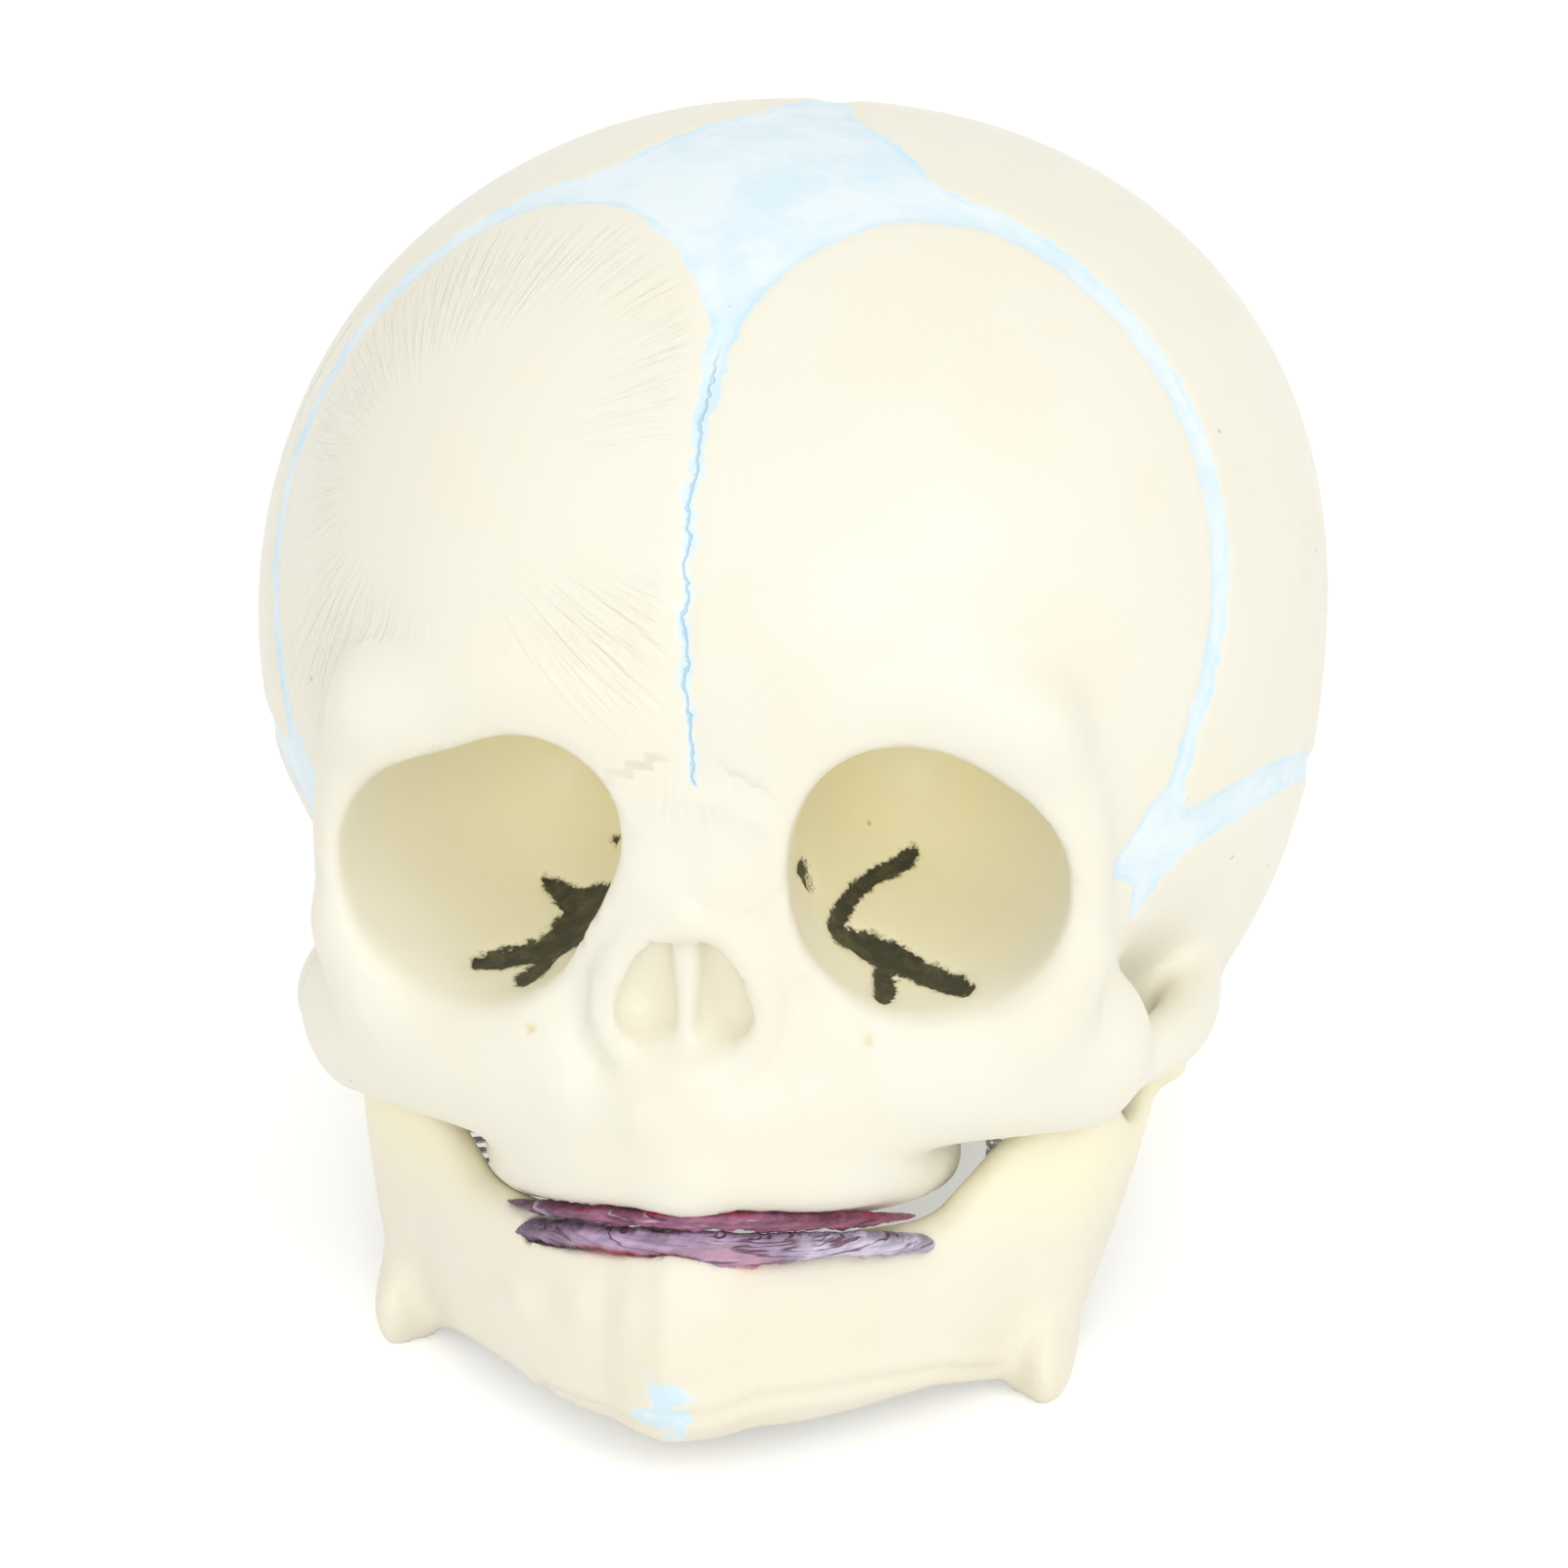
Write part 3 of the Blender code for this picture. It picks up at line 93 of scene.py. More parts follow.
# Bars: radius, blend, places
BARS = (
    (4.4, 4.0, (
        (0.00, 0.88, 0.515), (0.27, 0.87, 0.51), (0.55, 0.815, 0.51), (0.74, 0.735, 0.51), (0.86, 0.65, 0.51),
    )),
    (3.1, 3.0, (
        (0.00, 0.87, 0.46), (0.27, 0.86, 0.455), (0.50, 0.81, 0.462), (0.70, 0.73, 0.463),
        (0.86, 0.635, 0.458),
    )),
    (4.2, 4.5, (
        (0.34, 0.84, 0.56), (0.48, 0.80, 0.545), (0.66, 0.76, 0.55), (0.80, 0.69, 0.57), (0.87, 0.62, 0.55),
    )),
    (2.6, 5.0, (
        (0.74, 0.90, 1.04), (0.82, 0.85, 0.94), (0.85, 0.81, 0.81), (0.84, 0.79, 0.68), (0.78, 0.79, 0.60),
    )),
    (2.6, 3.5, (
        (0.84, 0.79, 0.68), (0.78, 0.79, 0.60), (0.66, 0.80, 0.56), (0.49, 0.83, 0.56), (0.34, 0.87, 0.59),
    )),
    (2.6, 5.0, ((0.16, 0.94, 1.05), (0.36, 0.96, 1.11), (0.58, 0.94, 1.10), (0.74, 0.90, 1.04))),
    (1.9, 3.0, ((0.16, 0.81, 0.96), (0.165, 0.80, 0.83), (0.205, 0.86, 0.68), (0.26, 0.89, 0.57))),
    (2.6, 2.0, (
        (0.82, 0.66, 0.48), (0.96, 0.57, 0.49), (1.04, 0.40, 0.49), (1.05, 0.23, 0.50), (1.01, 0.06, 0.52),
        (0.93, -0.09, 0.54),
    )),
    (2.4, 3.0, ((0.05, 0.885, 1.00), (0.055, 0.90, 0.91), (0.065, 0.955, 0.81))),
    (2.0, 1.0, (
        (0.00, 0.985, 0.765), (0.09, 0.98, 0.75), (0.16, 0.965, 0.69), (0.185, 0.95, 0.61),
        (0.12, 0.945, 0.54),
        (0.00, 0.955, 0.53),
    )),
    (3.6, 3.2, (
        (0.47, 0.60, 0.34), (0.445, 0.71, 0.352), (0.33, 0.83, 0.375), (0.18, 0.90, 0.395),
        (0.00, 0.925, 0.40),
    )),
    (2.2, 2.0, ((0.26, 0.32, 0.53), (0.29, 0.31, 0.35))),
)
ORBIT = ((0.53, 0.87, 0.795), (11.4, 23.5, 11.0), 13, 12)
# Scoops between the orbits and the bridge of the nose; the one on the skull's left lies further out
BRIDGE_SIDES = {1: (0.475, 1.03, 0.875), -1: (0.37, 1.03, 0.885)}
BRIDGE_SCOOP = (8.2, 14.0, 8.3)
HOLLOW = ((0.73, 0.41, 0.43), (0.23, 0.20, 0.18))
MIDFACE_BLOCKS = (((0.00, 0.72, 0.40), (0.36, 0.55, 0.42)), ((0.00, 0.83, 0.33), (0.71, 0.45, 0.33)))
# A nasal hole widens downwards: place and radius at its top and at its bottom
NASAL_HOLE = (((0.066, 0.975, 0.735), 1.2), ((0.098, 0.955, 0.63), 2.5))
SEPTUM = (0.8, ((0.00, 0.96, 0.765), (0.00, 0.975, 0.66), (0.00, 0.945, 0.55)), (0.8, 4.0, 6.0))
CONDYLE = ((0.92, 0.18, 0.41), (4.2, 2.4, 2.4))
# Gums: millimetres aside to the skull's left, then rows of place and half the height that shows
UPPER_GUM = (0.8, (
    (0.48, 0.79, 0.296, 0.4), (0.42, 0.825, 0.302, 0.5), (0.32, 0.88, 0.311, 0.65),
    (0.18, 0.935, 0.322, 0.75),
    (0.00, 0.955, 0.328, 0.8),
))
LOWER_GUM = (1.4, (
    (0.505, 0.775, 0.250, 0.85), (0.44, 0.82, 0.261, 1.0), (0.32, 0.89, 0.279, 1.05),
    (0.18, 0.945, 0.288, 1.1),
    (0.00, 0.96, 0.291, 1.1),
))
# How much the face of this casting stands higher, in millimetres, and more so on its left
FACE_LIFT = 2.1
FACE_SKEW = 0.052
FORAMEN = (13.6, 7.5, 10.0)
PIN = (0.65, 0.464, 0.43)
LOWER_PIN = (0.65, 0.415, 0.158)

# Sutures as azimuth and elevation in degrees, with the band's width in millimetres
METOPIC = ((1, 0.5, 0.8), (0.6, 7, 0.9), (-0.5, 20, 1.0), (-0.8, 35, 1.2), (-0.1, 44, 2.4), (0, 48, 3.4))
CORONAL = (
    (38, 62.5, 5.0), (48.5, 60.3, 3.9), (57, 53.3, 3.2), (61.2, 43.5, 3.0), (62.5, 35, 3.0), (62, 27, 2.9),
    (60, 18, 2.8), (56.5, 9, 2.4), (53.5, 2.5, 2.1), (51, -6, 2.6),
)
SAGITTAL = ((180, 74, 4.2), (180, 66, 2.6), (180, 50, 2.2), (180, 38, 2.3), (180, 28, 2.9))
LAMBDOID = ((178, 26, 2.4), (165, 19, 2.2), (150, 6, 2.0), (137, -8, 2.0), (127, -18, 2.4))
SQUAMOSAL = (
    (51, -9.5, 4.3), (60, -7.5, 4.3), (70, -7, 4.2), (78, -7.5, 3.4), (85, -9, 2.8), (100, -12, 2.6),
    (114, -16.5, 2.6),
    (124, -21, 3.0),
)
ANTERIOR = (
    (2, 45.5), (5.8, 51), (12, 55.5), (22, 59), (36, 60.8), (47, 61.5), (46, 67), (50, 72), (55, 77),
    (70, 82.5),
    (110, 85), (150, 82), (174, 76),
)
POSTERIOR = ((179, 32), (175, 27), (172, 22.5), (177, 22.0))
SPHENOIDAL = (
    (43, -10.5), (46.5, -7), (49, -3.5), (53, -3.5), (55, -6.5), (58, -10), (54, -13), (52.2, -18),
    (50.2, -18),
    (48.8, -13),
)
MASTOID = ((120, -19), (124, -15.5), (128, -17), (131, -21), (127, -28), (123, -24.5))

# Camera, fitted to the photograph: turn, height and roll in degrees, distance and target in millimetres
CAMERA_TURN = 10.26
CAMERA_RISE = 16.3
CAMERA_ROLL = -1.33
CAMERA_DISTANCE = 500
CAMERA_TARGET = np.array((0, -2.39, 44.4))
PHOTO_SIDE = 1601
FOCAL_PIXELS = 5720
SENSOR_WIDTH = 36

# Black painted fissures in the orbits, where they show in the photograph: pixel and width in pixels
FISSURES = (
    ((487, 981, 12), (500, 979, 18), (520, 975, 20), (540, 971, 22), (560, 964, 26), (578, 950, 32),
     (592, 934, 40)),
    ((560, 898, 14), (568, 906, 20), (580, 916, 28), (592, 924, 34), (604, 918, 34)),
    ((616, 908, 16), (612, 924, 22), (604, 940, 24), (590, 952, 22)),
    ((530, 1000, 12), (544, 990, 15), (556, 978, 18)),
    ((626, 854, 7), (628, 858, 7)),
    ((932, 868, 14), (926, 875, 19), (914, 883, 17), (892, 893, 16), (873, 910, 16), (860, 928, 18),
     (854, 942, 15)),
    ((856, 953, 13), (869, 957, 19), (884, 962, 27), (900, 971, 31), (920, 978, 27), (940, 990, 23),
     (960, 998, 23),
     (976, 1003, 23), (986, 1008, 15)),
    ((902, 990, 18), (903, 1005, 22), (904, 1014, 19)),
    ((821, 881, 8), (821, 889, 11)), ((823, 896, 4), (829, 908, 3)),
)
FORAMINA = ((541, 1050, 7), (887, 1062, 7))
NASAL_TOP = ((655, 850), (670, 827), (705, 811), (757, 829), (785, 848))
CHIN_PAINT = (
    ((664, 1398, 3), (662, 1416, 5)), ((688, 1420, 12), (668, 1421, 16), (700, 1426, 14), (672, 1432, 16)),
    ((652, 1443, 14), (676, 1448, 20), (702, 1447, 14)), ((674, 1452, 8), (679, 1468, 6)),
    ((690, 1450, 12), (694, 1466, 9)),
)


def spot(shares, side=1):
    return np.array((side * shares[0], shares[1], shares[2])) * FACE


def skewed(place):
    """A place moved up on the skull's left and down on its right, as this casting is."""
    return place + np.array((0, 0, FACE_SKEW * min(max(place[0], -20), 20)))


def aim(azimuth, elevation):
    a, e = np.radians(azimuth), np.radians(elevation)
    return np.stack((np.cos(e) * np.sin(a), -np.cos(e) * np.cos(a), np.sin(e) + 0 * a), axis=-1)


def raised(place):
    """A place in the face with the casting's skew, and its lift, which starts above the cheeks."""
    lift = min(max((place[2] - 22) / 20, 0), 1) * FACE_LIFT
    return skewed(place) + np.array((0, 0, lift))


# Each swelling of the vault: direction, height in millimetres, spread in degrees
SWELLINGS = (
    (aim(110, 26), 0.6, 24), (aim(-110, 26), 0.6, 24), (aim(25, 19), 2.7, 22), (aim(-25, 19), 2.7, 22),
    (aim(180, -8), 1.0, 28), (aim(62, -38), -8.0, 22), (aim(-62, -38), -8.0, 22),
)


def vault_radius(directions):
    """From the middle of the braincase to its outside, for many directions at once."""
    x, y, z = directions[:, 0], directions[:, 1], directions[:, 2]
    length = np.where(y < 0, VAULT_FRONT, VAULT_BACK)
    height = np.where(z > 0, VAULT_TOP, VAULT_BOTTOM)
    power = VAULT_ROUNDNESS
    total = np.abs(x / VAULT_HALF_WIDTH) ** power + np.abs(y / length) ** power + np.abs(z / height) ** power
    radius = total ** (-1 / power)
    for centre, rise, spread in SWELLINGS:
        radius = radius + rise * np.exp((directions @ centre - 1) / (1 - math.cos(math.radians(spread))))
    slope = math.radians(BASE_SLOPE_DEGREES)
    facing = np.maximum(directions @ np.array((0, -math.sin(slope), -math.cos(slope))), 0)
    return radius / (1 + (radius * facing / BASE_DEPTH) ** BASE_SHARPNESS) ** (1 / BASE_SHARPNESS)


def curve(points, steps=4):
    """Points along a quadratic spline that starts and ends at the first and last of the given ones."""
    points = [np.asarray(point, float) for point in points]
    if len(points) < 3:
        return np.array(points)
    path = []
    for k in range(1, len(points) - 1):
        start = points[0] if k == 1 else (points[k - 1] + points[k]) / 2
        end = points[-1] if k == len(points) - 2 else (points[k] + points[k + 1]) / 2
        for step in range(steps):
            t = step / steps
            path.append((1 - t) ** 2 * start + 2 * t * (1 - t) * points[k] + t * t * end)
    path.append(points[-1])
    return np.array(path)


# Distances to shapes, negative inside, for many points at once


def join(a, b, blend):
    mix = np.maximum(blend - np.abs(a - b), 0) / blend
    return np.minimum(a, b) - mix * mix * blend / 4


def cut(a, b, blend):
    return -join(-a, b, blend)


def ellipsoid(points, centre, radii, turn=0, lean=0):
    local = points - centre
    if turn or lean:
        rotation = Matrix.Rotation(math.radians(turn), 3, "Z") @ Matrix.Rotation(math.radians(lean), 3, "X")
        local = local @ np.array(rotation)
    radii = np.asarray(radii, float)
    near = np.linalg.norm(local / radii, axis=1)
    steep = np.linalg.norm(local / radii ** 2, axis=1)
    return near * (near - 1) / np.maximum(steep, 1e-6)


def block(points, centre, half):
    away = np.abs(points - centre) - half
    return np.linalg.norm(np.maximum(away, 0), axis=1) + np.minimum(away.max(axis=1), 0)


def tube(points, path, radius):
    """Distance to a round bar along a path; the radius is one number or one for each point of the path."""
    radii = np.broadcast_to(radius, len(path))
    best = np.full(len(points), 1e3)
    for k in range(len(path) - 1):
        run = path[k + 1] - path[k]
        t = np.clip((points - path[k]) @ run / max(run @ run, 1e-9), 0, 1)
        away = np.linalg.norm(points - path[k] - t[:, None] * run, axis=1)
        best = np.minimum(best, away - radii[k] - t * (radii[k + 1] - radii[k]))
    return best


def near_box(points, low, high, margin):
    return np.nonzero(((points > low - margin) & (points < high + margin)).all(axis=1))[0]


def add(values, points, low, high, blend, shape, way=join):
    """Joins or cuts a shape, but only reckons it for the points round its box."""
    close = near_box(points, np.minimum(low, high), np.maximum(low, high), blend + 2)
    if len(close):
        values[close] = way(values[close], shape(points[close]), blend)


def ball(values, points, centre, radii, blend, way=join, turn=0, lean=0):
    reach = max(radii) if turn or lean else np.asarray(radii)
    low, high = centre - reach, centre + reach
    add(values, points, low, high, blend, lambda p: ellipsoid(p, centre, radii, turn, lean), way)


def bar(values, points, path, radius, blend, way=join):
    reach = np.max(radius)
    low, high = path.min(axis=0) - reach, path.max(axis=0) + reach
    add(values, points, low, high, blend, lambda p: tube(p, path, radius), way)


def arch(gum, steps=4):
    """Rows on one side and back on the other, as one path in millimetres with the row's further numbers."""
    aside, rows = gum
    both = [(side * row[0], *row[1:]) for side, part in ((1, rows), (-1, rows[-2::-1])) for row in part]
    return curve([(*(skewed(spot(row)) + (aside, 0, 0)), *row[3:]) for row in both], steps)


def under_table(points):
    """Millimetres below the table, on which the skull rests with small flats."""
    return -1000 * to_world(points)[:, 2]


def cranium_blank(points):
    """The cranium before anything is hollowed out, and the braincase by itself."""
    offset = points - VAULT_CENTRE
    length = np.maximum(np.linalg.norm(offset, axis=1), 1e-6)
    vault = length - vault_radius(offset / length[:, None])
    solid = vault.copy()
    for centre, radii, blend in MIDLINE_BLOBS:
        ball(solid, points, raised(spot(centre)), radii * FACE_SPAN, blend)
    for side in SIDES:
        for centre, radii, blend in SIDE_BLOBS:
            ball(solid, points, spot(centre, side), radii * FACE_SPAN, blend)
        for radius, blend, places in BARS:
            bar(solid, points, curve([raised(spot(place, side)) for place in places]), radius, blend)
    return solid, vault


def orbit_hole(points, side, wall=0):
    """Distance to the hollow of an orbit, widened towards the nose."""
    place, radii, turn, lean = ORBIT
    hole = ellipsoid(points, raised(spot(place, side)), np.add(radii, wall), side * turn, lean)
    scoop = ellipsoid(points, raised(spot(BRIDGE_SIDES[side], side)), np.add(BRIDGE_SCOOP, wall))
    return join(hole, scoop, 4.0)


def cranium(points):
    """The whole cranium with its cavity."""
    solid, vault = cranium_blank(points)
    inside = vault + VAULT_WALL
    for centre, half in MIDFACE_BLOCKS:
        inside = np.maximum(inside, -block(points, spot(centre), half * FACE_SPAN))
    for side in SIDES:
        middle = raised(spot(ORBIT[0], side))
        for values, wall, blend in ((solid, 0, 1.3), (inside, VAULT_WALL, 0.5)):
            add(values, points, middle - 28, middle + 28, blend, lambda p: orbit_hole(p, side, wall), cut)
            ball(values, points, spot(HOLLOW[0], side), HOLLOW[1] * FACE_SPAN + wall, blend, cut)
        hole = np.array([raised(spot(place, side)) for place, _ in NASAL_HOLE])
        bar(solid, points, hole, [radius for _, radius in NASAL_HOLE], 1.2, cut)
        ball(solid, points, spot(CONDYLE[0], side), np.add(CONDYLE[1], GAP), 0.4, cut)
    radius, places, plate = SEPTUM
    bar(solid, points, curve([raised(spot(place)) for place in places]), radius, 0.9)
    ball(solid, points, raised(spot((0.00, 0.89, 0.66))), plate, 0.6)
    bar(solid, points, arch(UPPER_GUM)[:, :3], 1.0, 0.3, cut)
    solid = np.maximum(solid, -inside)
    back, half_width, half_length = FORAMEN
    hole = points[:, :2] - np.array((0, back))
    ring = (np.linalg.norm(hole / (half_width, half_length), axis=1) - 1) * half_width
    ring = np.maximum(ring, points[:, 2] - VAULT_CENTRE[2] + 10)
    return np.maximum(cut(solid, ring, 0.8), under_table(points))


# From distances to a mesh


def surface(shape, low, high, step):
    """Quads over the places where the distance changes sign, drawn onto the surface itself."""
    counts = [int(math.ceil((high[k] - low[k]) / step)) + 1 for k in range(3)]
    axes = [low[k] + step * np.arange(counts[k]) for k in range(3)]
    grid = np.stack(np.meshgrid(*axes, indexing="ij"), axis=-1).reshape(-1, 3)
    values = np.concatenate([shape(part) for part in np.array_split(grid, 8)]).reshape(counts)
    inside = values < 0
    size = np.array(counts)
    total = [np.zeros(size.prod()) for _ in range(4)]
    edges = []
    for axis in range(3):
        first = [slice(None)] * 3
        second = [slice(None)] * 3
        first[axis] = slice(None, -1)
        second[axis] = slice(1, None)
        a, b = values[tuple(first)], values[tuple(second)]
        at = np.argwhere(inside[tuple(first)] != inside[tuple(second)])
        at = at[(at > 0).all(axis=1)]
        key = tuple(at.T)
        place = at.astype(float)
        place[:, axis] += a[key] / (a[key] - b[key])
        u, v = (axis + 1) % 3, (axis + 2) % 3
        cells = []
        for du, dv in ((0, 0), (-1, 0), (-1, -1), (0, -1)):
            cell = at.copy()
            cell[:, u] += du
            cell[:, v] += dv
            flat = np.ravel_multi_index(cell.T, counts)
            cells.append(flat)
            for k in range(3):
                total[k] += np.bincount(flat, place[:, k], size.prod())
            total[3] += np.bincount(flat, minlength=size.prod())
        quads = np.stack(cells, axis=1)
        flip = inside[tuple(first)][key]
        quads[~flip] = quads[~flip][:, ::-1]
        edges.append(quads)
    used = np.nonzero(total[3])[0]
    number = np.zeros(size.prod(), np.int64)
    number[used] = np.arange(len(used))
    verts = np.stack([total[k][used] / total[3][used] for k in range(3)], axis=1) * step + np.array(low)
    quads = number[np.concatenate(edges)]
    for _ in range(3):
        verts = settle(shape, verts, step)
    return verts, quads


def slope_of(shape, points, reach=0.1):
    here = shape(points)
    steps = [shape(points + reach * np.eye(3)[k]) - here for k in range(3)]
    return here, np.stack(steps, axis=1) / reach


def settle(shape, points, most):
    """Moves points onto the surface along its slope, at most so far."""
    here, slope = slope_of(shape, points)
    steep = np.maximum((slope ** 2).sum(axis=1), 0.2)
    move = np.clip(here / steep, -most, most)
    return points - move[:, None] * slope


def to_world(points):
    """From the level drawing in millimetres to the model's place in metres."""
    turn = np.array(Matrix.Rotation(-math.radians(TILT_DEGREES), 3, "X"))
    return (np.asarray(points) @ turn.T + SHIFT) / 1000


# Sutures and paint


def waver(count, seed, size):
    """An even, repeatable zig-zag of that many values."""
    k = np.arange(count) + seed
    return size * (0.6 * np.sin(2.4 * k) + 0.4 * np.sin(5.1 * k + 1.3))


def band(directions, radius, rows, side, steps, zig=0):
    """Distance in millimetres from each direction to the edge of a suture's band, negative within."""
    rows = np.array([(side * a, e, w) for a, e, w in rows], float)
    keys = np.concatenate([aim(rows[:, 0], rows[:, 1]) * 10, rows[:, 2:]], axis=1)
    path = curve(keys, steps)
    along = np.gradient(path[:, :3], axis=0)
    across = np.cross(path[:, :3], along)
    across /= np.linalg.norm(across, axis=1)[:, None]
    path[:, :3] += across * waver(len(path), side, zig)[:, None] / 5
    best = np.full(len(directions), 1e3)
    for k in range(len(path) - 1):
        start, end = path[k], path[k + 1]
        run = (end - start)[:3] / 10
        away = directions - start[:3] / 10
        t = np.clip(away @ run / max(run @ run, 1e-12), 0, 1)
        gap = np.linalg.norm(away - t[:, None] * run, axis=1) * radius
        best = np.minimum(best, gap - (start[3] + t * (end[3] - start[3])) / 2)
    return best


def patch(directions, radius, outline, side, both=False):
    """The same for a fontanelle's outline."""
    outline = np.array(outline, float) * (side, 1)
    if both:
        outline = np.concatenate([outline, (outline * (-1, 1))[::-1]])
    corners = aim(outline[:, 0], outline[:, 1])
    middle = corners.mean(axis=0)
    middle /= np.linalg.norm(middle)
    east = np.cross((0, 0, 1), middle) if abs(middle[2]) < 0.95 else np.array((1.0, 0, 0))
    east = east - middle * (east @ middle)
    east /= np.linalg.norm(east)
    north = np.cross(middle, east)

    def flat(d):
        up = np.clip(d @ middle, -1, 1)
        angle = np.arccos(up)
        scale = angle / np.maximum(np.sin(angle), 1e-6)
        return np.stack((d @ east, d @ north), axis=-1) * np.asarray(scale)[..., None]

    ring = flat(corners)
    points = flat(directions)
    best = np.full(len(points), 1e3)
    within = np.zeros(len(points), bool)
    for k in range(len(ring)):
        a, b = ring[k], ring[(k + 1) % len(ring)]
        run = b - a
        t = np.clip((points - a) @ run / (run @ run), 0, 1)
        best = np.minimum(best, np.linalg.norm(points - a - t[:, None] * run, axis=1))
        crosses = (a[1] > points[:, 1]) != (b[1] > points[:, 1])
        if a[1] != b[1]:
            x = a[0] + (points[:, 1] - a[1]) / (b[1] - a[1]) * run[0]
            within ^= crosses & (points[:, 0] < x)
    far = directions @ middle < 0
    best = np.where(within & ~far, -best, best)
    return np.where(far, 20, best * radius)


def blue_edges(points):
    """Distance to the edge of the blue sutures and fontanelles over the vault, in millimetres."""
    offset = points - VAULT_CENTRE
    length = np.linalg.norm(offset, axis=1)
    directions = offset / length[:, None]
    found = patch(directions, length, ANTERIOR, 1, True)
    found = join(found, band(directions, length, SAGITTAL, 1, 10, 0.7), 1.5)
    found = join(found, patch(directions, length, POSTERIOR, 1, True), 1.5)
    for side in SIDES:
        found = join(found, band(directions, length, CORONAL, side, 6, 0.25), 2.0)
        found = join(found, band(directions, length, LAMBDOID, side, 10, 0.8), 1.5)
        found = join(found, band(directions, length, SQUAMOSAL, side, 6, 0.2), 1.5)
        found = join(found, patch(directions, length, SPHENOIDAL, side), 1.5)
        found = join(found, patch(directions, length, MASTOID, side), 1.5)
    return found


def metopic_fields(points):
    """Signed distance across the metopic suture, and half the width of its band there."""
    offset = points - VAULT_CENTRE
    length = np.linalg.norm(offset, axis=1)
    rise = np.degrees(np.arcsin(offset[:, 2] / length))
    turn = np.degrees(np.arctan2(offset[:, 0], -offset[:, 1]))
    rows = np.array(METOPIC)
    across = np.radians(turn - np.interp(rise, rows[:, 1], rows[:, 0])) * np.hypot(offset[:, 0], offset[:, 1])
    half = np.interp(rise, [rows[0, 1] - 2, *rows[:, 1], 49], [-1.2, *(rows[:, 2] / 2), 0.5])
    half = np.where((np.abs(turn) < 60) & (length > 40) & (rise < 49), half, -10)
    return across, half


def camera_axes():
    """The camera's place and its right, up and backward directions in the level drawing."""
    a, e, r = (math.radians(value) for value in (CAMERA_TURN, CAMERA_RISE, CAMERA_ROLL))
    back = np.array((math.sin(a) * math.cos(e), -math.cos(a) * math.cos(e), math.sin(e)))
    right = np.array((math.cos(a), math.sin(a), 0))
    up = np.cross(back, right)
    turned_right = right * math.cos(r) - up * math.sin(r)
    turned_up = right * math.sin(r) + up * math.cos(r)
    return CAMERA_TARGET + CAMERA_DISTANCE * back, turned_right, turned_up, back


def seen_at(shape, pixels):
    """Where the lines of sight through these pixels of the photograph meet the surface."""
    place, right, up, back = camera_axes()
    middle = (PHOTO_SIDE - 1) / 2
    across = (np.array([p[0] for p in pixels]) - middle) / FOCAL_PIXELS
    down = (np.array([p[1] for p in pixels]) - middle) / FOCAL_PIXELS
    rays = across[:, None] * right - down[:, None] * up - back
    rays /= np.linalg.norm(rays, axis=1)[:, None]
    reach = np.full(len(rays), 400.0)
    for _ in range(90):
        reach += 0.7 * shape(place + reach[:, None] * rays)
    return place + reach[:, None] * rays


def strokes(points, routes, open_to):
    """Distance to the edge of brush strokes given in the photograph's pixels, for the points open to it."""
    place, right, up, back = camera_axes()
    away = points[open_to] - place
    depth = away @ -back
    middle = (PHOTO_SIDE - 1) / 2
    seen = FOCAL_PIXELS * np.stack((away @ right, -(away @ up)), axis=1) / depth[:, None] + middle
    found = np.full(len(seen), 1e3)
    for route in routes:
        rows = np.array(route, float)
        found = np.minimum(found, tube(seen, rows[:, :2], rows[:, 2] / 2))
    best = np.full(len(points), 20.0)
    best[open_to] = np.minimum(found * CAMERA_DISTANCE / FOCAL_PIXELS, 20)
    return best


# Blender objects


def new_object(name, verts, faces, body, slot, replaced, normals=None, fields=None):
    mesh = bpy.data.meshes.new(name)
    mesh.from_pydata(verts.tolist(), [], faces.tolist())
    for key, values in (fields or {}).items():
        store = mesh.attributes.new(key, "FLOAT", "POINT")
        store.data.foreach_set("value", np.asarray(values, np.float32))
    mesh.shade_smooth()
    if normals is not None:
        mesh.normals_split_custom_set_from_vertices(normals.tolist())
    made = bpy.data.objects.new(name, mesh)
    bpy.context.scene.collection.objects.link(made)
    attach(made, body)
    if replaced:
        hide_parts(*replaced)
    return made


def vertex_normals(verts, quads):
    """Mean normals of the faces round each vertex, weighted by their area."""
    across = verts[quads[:, 2]] - verts[quads[:, 0]]
    along = verts[quads[:, 3]] - verts[quads[:, 1]]
    face = np.cross(across, along)
    total = np.stack(
        [sum(np.bincount(quads[:, c], face[:, k], len(verts)) for c in range(4)) for k in range(3)], axis=1
    )
    return total / np.maximum(np.linalg.norm(total, axis=1), 1e-12)[:, None]


def nearest_nodes(names, points):
    """For each point, the number of the CAD node that lies nearest to it."""
    corners, faces, owner = [], [], []
    for number, name in enumerate(names):
        mesh = frame["nodes"][name].data
        start = len(corners)
        corners += [tuple(vertex.co) for vertex in mesh.vertices]
        for face in mesh.polygons:
            faces.append([start + k for k in face.vertices])
            owner.append(number)
    tree = BVHTree.FromPolygons(corners, faces)
    return np.array([owner[tree.find_nearest(point)[2]] for point in points.tolist()])


